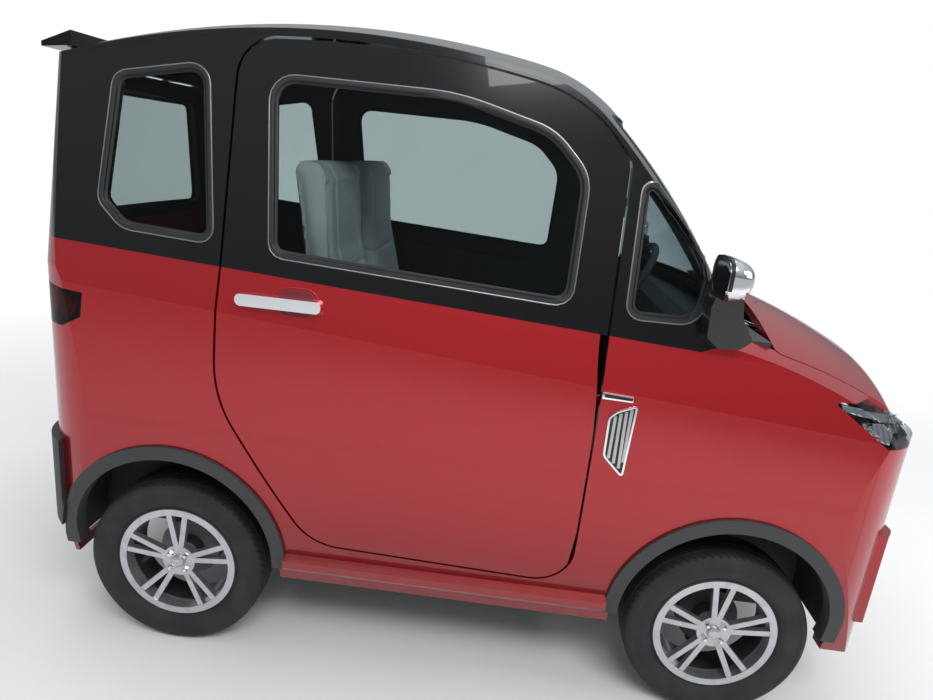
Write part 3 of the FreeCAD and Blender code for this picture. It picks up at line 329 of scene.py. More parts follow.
def tyre_rubber():
    """Rubber whose tread has cuts across it; they follow the angle round the axle."""
    finish = Finish("tyre_rubber")
    fine = finish.noise(420.0, 4.0)
    middle_x = (front_axle_x + rear_axle_x) / 2
    ahead = (finish.x - middle_x).absolute() - (front_axle_x - rear_axle_x) / 2
    above = finish.z - wheel_radius
    radius = (ahead * ahead + above * above).root()
    turn = finish.maths("ARCTAN2", above, ahead)
    slant = finish.y.absolute() * 260.0
    cuts = (turn * 72.0 + slant).sine() > 0.82
    tread = finish.span(radius, 0.2385, 0.2420)
    worn = finish.span(finish.noise(14.0, 5.0), 0.42, 0.75)
    colour = finish.blend(worn * 0.5, (0.014, 0.014, 0.015), (0.045, 0.042, 0.039))
    # Painted shade: the cuts across the tread are painted near black as well as pressed into the bump
    finish.set("Base Color", finish.blend(cuts * tread, colour, (0.004, 0.004, 0.004)))
    finish.set("Roughness", 0.62 + fine * 0.25)
    finish.bump(fine * 0.15 - cuts * tread, 0.004, 0.8)
    return finish.material


finishes["tyre"] = tyre_rubber()

# %% [markdown]
# ## Metal
# The wheels are painted silver, the handles and mirror caps are chromed. Dust dulls the silver in
# patches, and the barrel behind the spokes is painted dark, a painted shade inside the wheel.

# %% Silver and chrome


def silver_paint():
    finish = Finish("wheel_silver", coat=0.6, coat_roughness=0.12)
    flakes = finish.cells(1400.0)
    dust = finish.span(finish.noise(40.0, 5.0), 0.45, 0.8)
    colour = finish.blend(flakes * 0.3, (0.52, 0.53, 0.55), (0.66, 0.67, 0.69))
    colour = finish.blend(dust * 0.35, colour, (0.26, 0.24, 0.22))
    # Painted shade: the barrel inboard of the spoke face is painted near black, rougher and less metallic
    painted_barrel_shade = finish.span(finish.y.absolute(), 0.505, 0.515, 1.0, 0.0)
    finish.set("Base Color", finish.blend(painted_barrel_shade, colour, (0.020, 0.019, 0.018)))
    finish.set("Metallic", 0.85 - painted_barrel_shade * 0.7)
    finish.set("Roughness", 0.26 + flakes * 0.08 + dust * 0.15 + painted_barrel_shade * 0.35)
    return finish.material


def chrome():
    finish = Finish("bright_chrome", metallic=1.0)
    haze = finish.noise(30.0, 5.0)
    finish.set("Base Color", finish.blend(haze * 0.4, (0.86, 0.87, 0.88), (0.74, 0.75, 0.77)))
    finish.set("Roughness", 0.05 + haze * 0.08)
    return finish.material


def plain_silver():
    finish = Finish("plain_silver", coat=0.4)
    haze = finish.noise(60.0, 5.0)
    finish.set("Base Color", finish.blend(haze, (0.60, 0.61, 0.62), (0.42, 0.42, 0.43)))
    finish.set("Metallic", 0.7 + haze * 0.1)
    finish.set("Roughness", 0.28 + haze * 0.15)
    return finish.material


finishes["wheel_alloy"] = silver_paint()
finishes["wheel_silver_plain"] = plain_silver()
finishes["bright_trim"] = chrome()

# %% [markdown]
# ## Glass
# Thin panes are made from a see-through shader and a glossy one, mixed by the angle of view: little
# reflection straight on, more at a glancing angle. That keeps the cabin readable and lets light in.

# %% Window glass


def glass(name, tint, low, high):
    finish = Finish(name, roughness=0.02, metallic=0.0)
    finish.set("Base Color", (0.02, 0.02, 0.02))
    clear = finish.tree.nodes.new("ShaderNodeBsdfTransparent")
    clear.inputs[0].default_value = (*tint, 1.0)
    angle = finish.node("ShaderNodeLayerWeight", {}, {"Blend": 0.35})["Facing"]
    smear = finish.noise(5.0, 3.0)
    mix = finish.tree.nodes.new("ShaderNodeMixShader")
    finish.feed(mix.inputs[0], finish.span(angle * angle, 0.0, 1.0, low, high) + smear * 0.03)
    finish.tree.links.new(clear.outputs[0], mix.inputs[1])
    finish.tree.links.new(finish.shader.outputs[0], mix.inputs[2])
    finish.tree.links.new(mix.outputs[0], finish.output.inputs["Surface"])
    return finish.material


finishes["side_glazing"] = glass("tinted_side_glass", (0.80, 0.85, 0.85), 0.07, 0.70)
finishes["windscreen_glazing"] = glass("windscreen_glass", (0.76, 0.86, 0.90), 0.12, 0.85)
finishes["headlamp_lens"] = glass("lamp_lens", (0.92, 0.94, 0.96), 0.12, 0.8)

finishes["tail_lamp_lens"] = glass("smoked_tail_lens", (0.34, 0.035, 0.045), 0.22, 0.85)

# %% Seat leather


def leather(name, base, lighter):
    finish = Finish(name)
    grain = finish.noise(600.0, 3.0)
    wide = finish.noise(10.0, 4.0)
    finish.set("Base Color", finish.blend(wide * 0.6 + grain * 0.3, base, lighter))
    finish.set("Roughness", 0.42 + grain * 0.2)
    finish.bump(grain, 0.0004, 0.7)
    return finish.material


finishes["seat_cover"] = leather("grey_seat_leather", (0.55, 0.55, 0.55), (0.68, 0.68, 0.68))

# %% Dress the frame's own nodes
for node_name, node in nodes.items():
    finish = finishes[slot_of_node[node_name]]
    for place in node.material_slots:
        place.material = finish
for place in nodes["mirrors"].material_slots:
    place.material = finishes["grille_plastic"]
print("finishes:", sorted(finishes))

# %% [markdown]
# ## Helpers for small pieces
# Seals, trims and lamp parts lie on curved panels. Drawing them in space would be tedious, so each
# is drawn flat and then laid on the panel: a ray finds the skin under every point of a grid, and the
# point is lifted along the skin's own direction. The thickness comes from a Solidify modifier.

# %% Rays onto the skin
skins = {}


def closest_skin(start, along, reach, names):
    """Where a ray just misses, the place on the skin that it passes most closely."""
    nearest = None
    for step in range(40, int(reach * 100)):
        point = start + along * (step / 100)
        for name in names:
            place, facing, index, distance = skins[name].find_nearest(point)
            if nearest is None or distance < nearest[2]:
                nearest = (place, facing, distance)
    return nearest


def skin_under(start, along, reach, names):
    """First place that a ray meets on the named nodes, and the direction in which that skin faces.

    The reach ends before the far side of the car, so that no strip jumps across the cabin."""
    nearest = None
    for name in names:
        if name not in skins:
            skins[name] = BVHTree.FromObject(nodes[name], bpy.context.evaluated_depsgraph_get())
        place, facing, index, distance = skins[name].ray_cast(start, along, reach)
        if place is not None and (nearest is None or distance < nearest[2]):
            nearest = (place, -facing if facing.dot(along) > 0 else facing, distance)
    if nearest is None:
        nearest = closest_skin(start, along, reach, names)
    return nearest


def from_side(x, z, names):
    """Skin of the right side at x and z."""
    return skin_under(Vector((x, -1.5, z)), Vector((0.0, 1.0, 0.0)), 1.25, names)


def from_front(y, z, names):
    return skin_under(Vector((3.0, y, z)), Vector((-1.0, 0.0, 0.0)), 3.0, names)


def from_behind(y, z, names):
    return skin_under(Vector((-3.0, y, z)), Vector((1.0, 0.0, 0.0)), 2.6, names)


def from_around(degrees, z, names):
    """Skin of the nose, seen inwards from a direction round it."""
    turn = math.radians(degrees)
    out = Vector((math.cos(turn), math.sin(turn), 0.0))
    return skin_under(Vector((0.70, 0.0, z)) + out * 2.0, -out, 2.0, names)


def from_photo(across, down, names):
    """Skin that the photograph shows at a pixel."""
    right, up, ahead = camera_axes()
    focal = camera_lens / sensor_width * photo_width
    along = ahead + right * ((across - photo_width / 2) / focal) - up * ((down - photo_height / 2) / focal)
    return skin_under(camera_place, along.normalized(), 2.45, names)


door_place = from_side(0.0, 0.7, ["door_right_panel"])[0]
print("skin at the door:", tuple(round(v, 3) for v in door_place))

# %% Lines and outlines


def along_line(points, share):
    """Place at a share of a line's length."""
    lengths = [math.dist(points[n], points[n + 1]) for n in range(len(points) - 1)]
    left = share * sum(lengths)
    for number, length in enumerate(lengths):
        if left <= length or number == len(lengths) - 1:
            part = left / length
            first, second = points[number], points[number + 1]
            return tuple(a + (b - a) * part for a, b in zip(first, second))
        left -= length


def rounded_outline(corners, grow=0.0, steps=8):
    """Closed outline through corners given as (across, up, radius), moved outwards by grow."""
    count = len(corners)
    area = sum(corners[n][0] * corners[(n + 1) % count][1] - corners[(n + 1) % count][0] * corners[n][1]
               for n in range(count))
    turn = 1.0 if area > 0 else -1.0
    outline = []
    for n in range(count):
        here = Vector(corners[n][:2])
        before = (here - Vector(corners[n - 1][:2])).normalized()
        after = (Vector(corners[(n + 1) % count][:2]) - here).normalized()
        out_before = Vector((before.y, -before.x)) * turn
        out_after = Vector((after.y, -after.x)) * turn
        bend = before.angle(after)
        reach = grow / math.cos(bend / 2)
        corner = here + (out_before + out_after).normalized() * reach
        radius = max(corners[n][2] + grow, 0.001)
        tangent = radius * math.tan(bend / 2)
        first = corner - before * tangent
        centre = first - out_before * radius
        for step in range(steps + 1):
            share = step / steps
            spoke = out_before * math.sin((1 - share) * bend) + out_after * math.sin(share * bend)
            outline.append(tuple(centre + spoke * radius / math.sin(bend)))
    return outline + [outline[0]]


# %% Pieces from a grid
made_pieces = []


def deselect():
    bpy.ops.object.select_all(action="DESELECT")


def finish_piece(piece, name, finish, body, smooth=40.0):
    """Names a piece, gives it its finish and lets it ride on its body."""
    piece.name = name
    piece.data.name = name
    piece.data.materials.clear()
    piece.data.materials.append(finishes[finish])
    deselect()
    piece.select_set(True)
    bpy.context.view_layer.objects.active = piece
    bpy.ops.object.shade_smooth_by_angle(angle=math.radians(smooth))
    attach(piece, body)
    made_pieces.append(name)
    return piece


def apply_modifiers(piece):
    bpy.context.view_layer.objects.active = piece
    for modifier in list(piece.modifiers):
        bpy.ops.object.modifier_apply(modifier=modifier.name)


def grid_piece(columns, rows, lay, closed=False):
    """Grid primitive whose points are laid in space by lay(along, across), both from 0 to 1."""
    deselect()
    bpy.ops.mesh.primitive_grid_add(x_subdivisions=columns, y_subdivisions=rows, size=2.0)
    piece = bpy.context.active_object
    for vertex in piece.data.vertices:
        along = round((vertex.co.x + 1) / 2 * columns) / columns
        across = round((vertex.co.y + 1) / 2 * rows) / rows
        vertex.co = lay(along, across)
    bpy.ops.object.mode_set(mode="EDIT")
    bpy.ops.mesh.select_all(action="SELECT")
    if closed:
        bpy.ops.mesh.remove_doubles(threshold=0.00002)
    bpy.ops.object.mode_set(mode="OBJECT")
    return piece


def face_towards(piece, outward):
    """Turns the faces over if they look away from a direction."""
    if sum(face.normal.dot(outward) * face.area for face in piece.data.polygons) < 0:
        bpy.ops.object.mode_set(mode="EDIT")
        bpy.ops.mesh.select_all(action="SELECT")
        bpy.ops.mesh.flip_normals()
        bpy.ops.object.mode_set(mode="OBJECT")


def thicken(piece, thickness, edge_width=0.0012):
    """Wall under the faces, with a small round on its edges."""
    wall = piece.modifiers.new("wall", "SOLIDIFY")
    wall.thickness = thickness
    wall.offset = -1.0
    edge = piece.modifiers.new("edge", "BEVEL")
    edge.width = min(edge_width, thickness * 0.35)
    edge.segments = 2
    edge.limit_method = "ANGLE"
    edge.angle_limit = math.radians(50.0)
    apply_modifiers(piece)


def band(name, first, second, land, names, lift, thickness, finish, body, columns, rows, closed=False):
    """Strip between two lines drawn flat, laid on the skin that land finds on the named nodes."""
    places = {}

    def lay(along, across):
        if (along, across) not in places:
            one = along_line(first, along)
            two = along_line(second, along)
            point = [a + (b - a) * across for a, b in zip(one, two)]
            places[(along, across)] = land(*point, names)
        place, facing, distance = places[(along, across)]
        return place + facing * lift

    piece = grid_piece(columns, rows, lay, closed)
    face_towards(piece, sum((found[1] for found in places.values()), Vector()))
    thicken(piece, thickness)
    return finish_piece(piece, name, finish, body)


def other_side(piece, name, body):
    """Mirrored copy, with a mesh of its own, for the car's left side."""
    copy = piece.copy()
    copy.data = piece.data.copy()
    scene.collection.objects.link(copy)
    copy.data.transform(Matrix.Scale(-1.0, 4, (0.0, 1.0, 0.0)))
    copy.data.flip_normals()
    copy.name = name
    copy.data.name = name
    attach(copy, body)
    made_pieces.append(name)
    return copy


def pair(piece, left_body="body"):
    """Adds the left piece to a right one whose name ends in _right."""
    return other_side(piece, piece.name.replace("_right", "_left"), left_body)


def turned(name, section, centre, finish, body, steps=48, smooth=35.0):
    """Solid of revolution about the car's cross axis; the section is (along y, radius) in metres."""
    deselect()
    bpy.ops.mesh.primitive_circle_add(vertices=len(section), radius=1.0, fill_type="NOTHING")
    piece = bpy.context.active_object
    for vertex, (along, radius) in zip(piece.data.vertices, section):
        vertex.co = Vector(centre) + Vector((0.0, along, radius))
    bpy.ops.object.mode_set(mode="EDIT")
    bpy.ops.mesh.select_all(action="SELECT")
    bpy.ops.mesh.spin(steps=steps, angle=math.tau, center=centre, axis=(0.0, 1.0, 0.0))
    bpy.ops.mesh.select_all(action="SELECT")
    bpy.ops.mesh.remove_doubles(threshold=0.00002)
    bpy.ops.mesh.normals_make_consistent(inside=False)
    bpy.ops.object.mode_set(mode="OBJECT")
    return finish_piece(piece, name, finish, body, smooth)


print("helpers ready")

# %% [markdown]
# ## More finishes
# The small pieces need their own: satin grey for the thin line round the glass, a dark red for the
# shadow in the handle cups, white for the light strip, mirror glass, and a ribbed reflector.

# %% Finishes of the small pieces


def plain_metal(name, light, dark, roughness):
    finish = Finish(name, metallic=1.0)
    haze = finish.noise(25.0, 5.0)
    finish.set("Base Color", finish.blend(haze, light, dark))
    finish.set("Roughness", roughness + haze * 0.12)
    return finish.material


def ribbed_reflector():
    finish = Finish("ribbed_reflector", metallic=0.9)
    ribs = finish.span((finish.y * 900.0 + finish.x * 500.0).sine(), -1.0, 1.0)
    finish.set("Base Color", finish.blend(ribs, (0.86, 0.88, 0.90), (0.42, 0.44, 0.47)))
    finish.set("Roughness", 0.10 + ribs * 0.15)
    finish.bump(ribs, 0.001, 0.5)
    return finish.material


def shaded_cup():
    finish = Finish("shaded_red_cup", metallic=0.3, coat=1.0, coat_roughness=0.05)
    finish.set("Base Color", finish.blend(finish.noise(12.0), (0.16, 0.002, 0.006), (0.24, 0.004, 0.010)))
    finish.set("Roughness", 0.4 + finish.noise(30.0) * 0.1)
    return finish.material


def light_strip():
    finish = Finish("light_strip_white", coat=0.8)
    ribs = finish.span((finish.x * 1500.0 + finish.z * 400.0).sine(), -1.0, 1.0)
    finish.set("Base Color", finish.blend(ribs, (0.92, 0.93, 0.94), (0.70, 0.72, 0.75)))
    finish.set("Roughness", 0.15 + ribs * 0.1)
    return finish.material


finishes["satin_line"] = plain_metal("satin_grey_line", (0.42, 0.43, 0.45), (0.30, 0.31, 0.33), 0.28)
finishes["mirror_glass"] = plain_metal("mirror_glass", (0.90, 0.91, 0.92), (0.86, 0.87, 0.88), 0.015)
finishes["reflector"] = ribbed_reflector()
finishes["cup_shade"] = shaded_cup()
finishes["light_strip"] = light_strip()
finishes["red_reflector"] = plain_metal("red_lamp_bowl", (0.62, 0.03, 0.04), (0.40, 0.01, 0.02), 0.12)

# %% [markdown]
# ## Window seals
# Every pane sits in a black rubber seal with a thin grey line on its outer lip. The seal is a strip
# that starts on the painted frame and slopes down onto the glass, 7 mm deeper.

# %% Seals round the side windows
door_window = [(-0.513, 1.150, 0.025), (0.209, 1.112, 0.030), (0.215, 1.402, 0.090), (0.126, 1.491, 0.150),
               (-0.109, 1.551, 0.600), (-0.549, 1.552, 0.045)]
rear_window = [(-0.948, 1.233, 0.030), (-0.890, 1.178, 0.060), (-0.679, 1.166, 0.020), (-0.724, 1.562, 0.035),
               (-0.934, 1.521, 0.025)]
quarter_light = [(0.366, 1.100, 0.025), (0.519, 1.102, 0.045), (0.540, 1.238, 0.015), (0.365, 1.412, 0.012)]

for label, outline, frame_node, glass_node, body in (
        ("door_window", door_window, "door_right_frame", "door_right_glass", "door_right"),
        ("rear_window", rear_window, "pillar_frames", "side_glass", "body"),
        ("quarter_light", quarter_light, "pillar_frames", "side_glass", "body")):
    left_body = body.replace("right", "left")
    seal = band(label + "_seal_right", rounded_outline(outline, 0.013), rounded_outline(outline, -0.006),
                from_side, [frame_node, glass_node], 0.0022, 0.0030, "seal_rubber", body,
                120, 4, True)
    pair(seal, left_body)
    line = band(label + "_line_right", rounded_outline(outline, 0.0155), rounded_outline(outline, 0.0125),
                from_side, [frame_node], 0.0028, 0.0028, "satin_line", body, 120, 1, True)
    pair(line, left_body)
print("seals:", len(made_pieces))

# %% [markdown]
# The windscreen and the tailgate's window have wider bonded rubber edges.

# %% Seals of the windscreen and tailgate
windscreen_edge = [(-0.468, 1.108, 0.025), (0.468, 1.108, 0.025), (0.390, 1.552, 0.035),
                   (-0.390, 1.552, 0.035)]
tailgate_edge = [(-0.360, 1.160, 0.030), (0.360, 1.160, 0.030), (0.312, 1.500, 0.030), (-0.312, 1.500, 0.030)]
band("windscreen_seal", rounded_outline(windscreen_edge, 0.006), rounded_outline(windscreen_edge, -0.010),
     from_front, ["pillar_frames", "windscreen", "roof_panel"], 0.0018, 0.0030, "seal_rubber",
     "body", 140, 4, True)
band("tailgate_window_seal", rounded_outline(tailgate_edge, 0.010), rounded_outline(tailgate_edge, -0.008),
     from_behind, ["tailgate_frame", "tailgate_glass"], 0.0018, 0.0030, "seal_rubber",
     "tailgate", 100, 4, True)

# %% [markdown]
# ## Wing vent and bar
# Between the front wheel and the door the wing carries a ribbed silver vent with a bright rim. Above
# it is a short bright bar, bare here. Both are drawn at the pixels where the photograph shows them.

# %% Vent and bar on the wings
vent_back = [(635, 408), (625, 411.5), (618, 413.5), (612, 418), (609, 425), (604.5, 450), (604.5, 457),
             (607, 461), (620, 473)]
vent_front = [(636, 408), (633.5, 425), (627.5, 450), (622, 473)]
vent_rim = [(637.5, 406, 1.5), (618, 411, 9), (609, 417, 7), (603, 455, 7), (621.5, 477, 2)]
vent_ribs = [((615.5, 416), (608, 458)), ((621, 413.5), (613, 463)), ((626.5, 412), (618, 468)),
             ((632, 410), (622.5, 462))]
rib_back, rib_front = 1.7, 1.6
bar_upper, bar_lower = [(601.5, 391.5), (634, 397)], [(600.5, 398.5), (633, 403)]
inlay_upper, inlay_lower = [(605, 393.6), (633, 398.4)], [(604.5, 397), (632.5, 401.4)]
wing = ["front_fenders"]
pair(band("wing_vent_base_right", vent_back, vent_front, from_photo, wing, 0.0012, 0.0014, "chassis_steel",
          "body", 24, 6))
pair(band("wing_vent_rim_right", rounded_outline(vent_rim, 0.6), rounded_outline(vent_rim, -1.5), from_photo,
          wing, 0.0050, 0.0050, "bright_trim", "body", 80, 2, True))
for number, (top, foot) in enumerate(vent_ribs):
    back_edge = [(top[0] - rib_back, top[1]), (foot[0] - rib_back, foot[1])]
    front_edge = [(top[0] + rib_front, top[1]), (foot[0] + rib_front, foot[1])]
    pair(band("wing_vent_rib_%d_right" % number, back_edge, front_edge, from_photo, wing, 0.0038, 0.0036,
              "wheel_silver_plain", "body", 16, 2))
pair(band("wing_bar_right", bar_upper, bar_lower, from_photo, wing, 0.0030, 0.0030, "bright_trim",
          "body", 20, 2))
pair(band("wing_bar_inlay_right", inlay_upper, inlay_lower, from_photo, wing, 0.0036, 0.0012,
          "grille_plastic", "body", 20, 2))

# %% [markdown]
# ## Head lamps
# Under the clear lens is a dark housing, a bright band along its upper edge and, low at the front, a
# ribbed reflector. They lie at three depths below the lens, so that they shift against each other
# when the view moves.

# %% Inside the head lamps
lamp = ["headlamps"]
housing_upper = [(842, 405), (862, 408.5), (882, 412), (900, 415), (914, 417)]
housing_lower = [(847, 428), (862, 435), (878, 443), (890, 449), (904, 438)]
bright_upper = [(842.5, 405.5), (862, 409), (882, 412.5), (900, 415.5), (913, 417.5)]
bright_lower = [(844.5, 412), (862, 417), (882, 421), (900, 423), (910, 423)]
reflector_upper = [(864, 424.5), (876, 424.5), (888, 425), (898, 425.5)]
reflector_lower = [(870, 435.5), (877, 440), (885, 444.5), (892, 446.5)]
pair(band("lamp_housing_right", housing_upper, housing_lower, from_photo, lamp, -0.0200, 0.0015,
          "grille_plastic", "body", 28, 8))
pair(band("lamp_band_right", bright_upper, bright_lower, from_photo, lamp, -0.0045, 0.0020,
          "bright_trim", "body", 28, 4))
pair(band("lamp_reflector_right", reflector_upper, reflector_lower, from_photo, lamp, -0.0100, 0.0020,
          "reflector", "body", 24, 10))

# %% [markdown]
# ## Nose trim
# A bright frame runs round the grille, a black one round the intake, and a thin silver strip crosses
# the foot of the red face. The strip is laid from directions round the nose, because the face is
# curved.

# %% Grille frame, silver strip and intake frame
grille_edge = [(-0.300, 0.720, 0.020), (0.300, 0.720, 0.020), (0.345, 0.765, 0.040), (0.375, 0.820, 0.004),
               (-0.375, 0.820, 0.004), (-0.345, 0.765, 0.040)]
band("grille_frame", rounded_outline(grille_edge, 0.009), rounded_outline(grille_edge, 0.001), from_front,
     ["nose_panel"], 0.0030, 0.0030, "bright_trim", "body", 160, 3, True)
# Ends of the strip as degrees round the nose and height
strip_top, strip_foot = [(-38.0, 0.292), (38.0, 0.292)], [(-38.0, 0.272), (38.0, 0.272)]
band("silver_strip", strip_top, strip_foot, from_around, ["nose_panel"], 0.0030, 0.0030, "satin_line",
     "body", 120, 2)
intake_edge = [(-0.300, 0.385, 0.025), (0.300, 0.385, 0.025), (0.300, 0.480, 0.025), (-0.300, 0.480, 0.025)]
band("intake_frame", rounded_outline(intake_edge, 0.010), rounded_outline(intake_edge, 0.001), from_front,
     ["nose_panel"], 0.0030, 0.0030, "grille_plastic", "body", 120, 2, True)

# %% [markdown]
# ## Tail
# The tail lamps are smoked, with a red bowl behind the lens and a clear ribbed part along the rear
# edge.

# %% Inside the tail lamps
tail = ["tail_lamps"]
bowl_upper = [(-1.120, 0.990), (-1.060, 0.985), (-1.006, 0.975)]
bowl_lower = [(-1.120, 0.895), (-1.060, 0.918), (-1.012, 0.948)]
pair(band("tail_housing_right", bowl_upper, bowl_lower, from_side, tail, -0.0220, 0.0015, "red_reflector",
          "body", 16, 6))
clear_top, clear_foot = [(39, 279), (51, 279)], [(40, 320), (50, 320)]
pair(band("tail_clear_right", clear_top, clear_foot, from_photo, tail, -0.0060, 0.0015,
          "reflector", "body", 10, 14))

# %% [markdown]
# ## Mirrors
# The mirror's housing wears a chromed cap, a thin shell just outside it that runs through a few
# rounded sections. A white light strip crosses its outer face, and the glass closes the rear.

# %% Mirror cap, strip and glass
# Each section of the cap: x, half width, half height, radius of the corners
mirror_rows = ((0.540, 0.0705, 0.0470, 0.034), (0.556, 0.0685, 0.0450, 0.034),
               (0.570, 0.0620, 0.0400, 0.031), (0.582, 0.0545, 0.0335, 0.028),
               (0.590, 0.0440, 0.0260, 0.021), (0.5955, 0.0330, 0.0185, 0.014),
               (0.5965, 0.0010, 0.0008, 0.0005))
mirror_centre = (-0.616, 1.222)


def mirror_outline(half_width, half_height, radius):
    corners = [(mirror_centre[0] + a * half_width, mirror_centre[1] + b * half_height, radius)
               for a, b in ((-1, -1), (1, -1), (1, 1), (-1, 1))]
    return rounded_outline(corners)


def cap_point(along, across):
    row = min(int(across * (len(mirror_rows) - 1)), len(mirror_rows) - 2)
    share = across * (len(mirror_rows) - 1) - row
    one, two = mirror_rows[row], mirror_rows[row + 1]
    x, half_width, half_height, radius = [a + (b - a) * share for a, b in zip(one, two)]
    y, z = along_line(mirror_outline(half_width, half_height, radius), along)
    return Vector((x, y, z))


cap = grid_piece(64, 18, cap_point, True)
face_towards(cap, Vector((1.0, 0.0, 0.0)))
thicken(cap, 0.0014)
pair(finish_piece(cap, "mirror_cap_right", "bright_trim", "body", 60.0))


def glass_point(along, across):
    y, z = along_line(mirror_outline(0.064, 0.040, 0.030), along)
    return Vector((0.5322, y + (mirror_centre[0] - y) * across, z + (mirror_centre[1] - z) * across))


pane = grid_piece(48, 4, glass_point, True)
face_towards(pane, Vector((-1.0, 0.0, 0.0)))
thicken(pane, 0.0014)
pair(finish_piece(pane, "mirror_pane_right", "mirror_glass", "body"))
strip_upper, strip_lower = [(727, 291.5), (745, 293.5)], [(728, 296.5), (744, 299)]
pair(band("mirror_strip_right", strip_upper, strip_lower, from_photo, ["mirrors"], 0.0040, 0.0030,
          "light_strip", "body", 16, 3))

# %% [markdown]
# ## Door handles
# Behind each bar the door skin is dished, so that fingers fit. The dish is shown by a darker oval
# with a raised rim.

# %% Handle cups
cup_edge = [(-0.497, 1.000, 0.033), (-0.393, 1.000, 0.033), (-0.393, 1.069, 0.033), (-0.497, 1.069, 0.033)]
door = ["door_right_panel"]
cup_middle = [(-0.445, 1.0345), (-0.4449, 1.0345)]
pair(band("handle_cup_right", rounded_outline(cup_edge, -0.002), cup_middle, from_side, door, 0.0006, 0.0006,
          "cup_shade", "door_right", 64, 6, True), "door_left")
pair(band("handle_cup_rim_right", rounded_outline(cup_edge, 0.003), rounded_outline(cup_edge, -0.003),
          from_side, door, 0.0016, 0.0016, "body_paint", "door_right", 64, 2, True),
     "door_left")

# %% [markdown]
# ## Wiper
# One wiper rests at the foot of the windscreen: a blade along the glass and an arm from the cowl.

# %% Wiper blade and arm
band("wiper_blade", [(-0.330, 1.150), (0.170, 1.128)], [(-0.330, 1.143), (0.170, 1.121)], from_front,
     ["windscreen", "pillar_frames"], 0.0110, 0.0100, "seal_rubber", "body", 30, 2)
band("wiper_arm", [(-0.070, 1.147), (0.230, 1.106)], [(-0.070, 1.136), (0.230, 1.090)], from_front,
     ["windscreen", "pillar_frames"], 0.0185, 0.0070, "trim_plastic", "body", 20, 2)

# %% [markdown]
# ## Tyres
# Each tyre is one closed section turned about the axle: bead, flank with two fine rings, rounded
# shoulder and a tread with three grooves. The cuts across the tread are in the bump of the rubber,
# and they are painted darker as painted shade.

# %% Tyres turned from their section
# Outer half of the section as (across, radius) in millimetres, from the bead to the tread's middle
tyre_half = [(50.0, 156.0), (51.0, 171.0), (59.0, 177.0), (65.5, 189.0), (67.3, 201.0), (66.4, 205.0),
             (66.9, 207.0), (66.9, 211.0), (66.2, 213.0), (66.0, 224.0), (66.6, 226.0), (66.0, 229.0),
             (62.5, 237.0), (57.0, 242.0), (50.5, 243.8), (37.0, 245.2), (36.0, 239.5), (30.0, 239.5),
             (29.0, 245.8), (4.0, 246.9), (3.0, 240.5)]
tyre_inner_half = [(-across, radius) for across, radius in reversed(tyre_half)]
tyre_section = tyre_inner_half[-1:] + tyre_half + tyre_inner_half[:-1]
wheel_places = {"front_left": (front_axle_x, wheel_y, wheel_radius),
                "front_right": (front_axle_x, -wheel_y, wheel_radius),
                "rear_left": (rear_axle_x, wheel_y, wheel_radius),
                "rear_right": (rear_axle_x, -wheel_y, wheel_radius)}
for label, centre in wheel_places.items():
    body = "wheel_" + label
    section = [(across / 1000, radius / 1000) for across, radius in tyre_section]
    rubber = turned("road_tyre_" + label, section, centre, "tyre", body, steps=96)
    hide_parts("tyre_" + label)
print("tyre faces:", len(rubber.data.polygons))

# %% [markdown]
# ## Wheel bolts and caps
# Four hexagon bolts and a domed cap are on every hub. A bolt is made from a six-sided cylinder whose
# end is inset and drawn out.

# %% Wheel bolts and caps
bolt_circle, bolt_radius = 0.031, 0.0075
cap_section = [(0.046, 0.0001), (0.046, 0.0190), (0.051, 0.0190), (0.0555, 0.0165), (0.0575, 0.0120),
               (0.0560, 0.0100), (0.0565, 0.0001)]


def wheel_bolts(label, centre):
    side = 1.0 if centre[1] > 0 else -1.0
    bolt_y = centre[1] + side * 0.050
    bolts = []
    deselect()
    for number in range(4):
        turn = math.radians(45 + 90 * number)
        place = (centre[0] + bolt_circle * math.cos(turn), bolt_y, centre[2] + bolt_circle * math.sin(turn))
        bpy.ops.mesh.primitive_cylinder_add(vertices=6, radius=bolt_radius, depth=0.010, location=place,
                                            rotation=(math.radians(90), 0, 0))
        bolt = bpy.context.active_object
        bpy.ops.object.transform_apply(location=True, rotation=True, scale=True)
        bpy.ops.object.mode_set(mode="EDIT")
        bpy.ops.mesh.select_all(action="DESELECT")
        bpy.ops.object.mode_set(mode="OBJECT")
        for face in bolt.data.polygons:
            face.select = face.normal.y * side > 0.9
        bpy.ops.object.mode_set(mode="EDIT")
        bpy.ops.mesh.select_mode(type="FACE")
        bpy.ops.mesh.inset(thickness=0.0022)
        bpy.ops.transform.translate(value=(0.0, side * 0.0035, 0.0))
        bpy.ops.object.mode_set(mode="OBJECT")
        bolts.append(bolt)
    deselect()
    for bolt in bolts:
        bolt.select_set(True)
    bpy.context.view_layer.objects.active = bolts[0]
    bpy.ops.object.join()
    return finish_piece(bolts[0], "wheel_bolts_" + label, "bright_trim", "wheel_" + label)


for label, centre in wheel_places.items():
    wheel_bolts(label, centre)
    side = 1.0 if centre[1] > 0 else -1.0
    section = [(side * across, radius) for across, radius in cap_section]
    turned("hub_cap_" + label, section, centre, "wheel_alloy", "wheel_" + label, steps=40)

# %% [markdown]
# ## Seats
# The seats are padded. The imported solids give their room; each becomes a pad by remeshing it evenly,
# blowing it up a little with the cloth solver, and smoothing it. No point may move further than a
# set distance from its start. The left seat is simulated and the right one is its mirror image.

# %% Padded seats
voxel_size, quick_voxel_size = 0.006, 0.012
cloth_frames = 12
pad_shrink, pad_cap_distance, pad_pressure = 0.006, 0.009, 4.0
seam_depth, seam_width = 0.006, 0.012


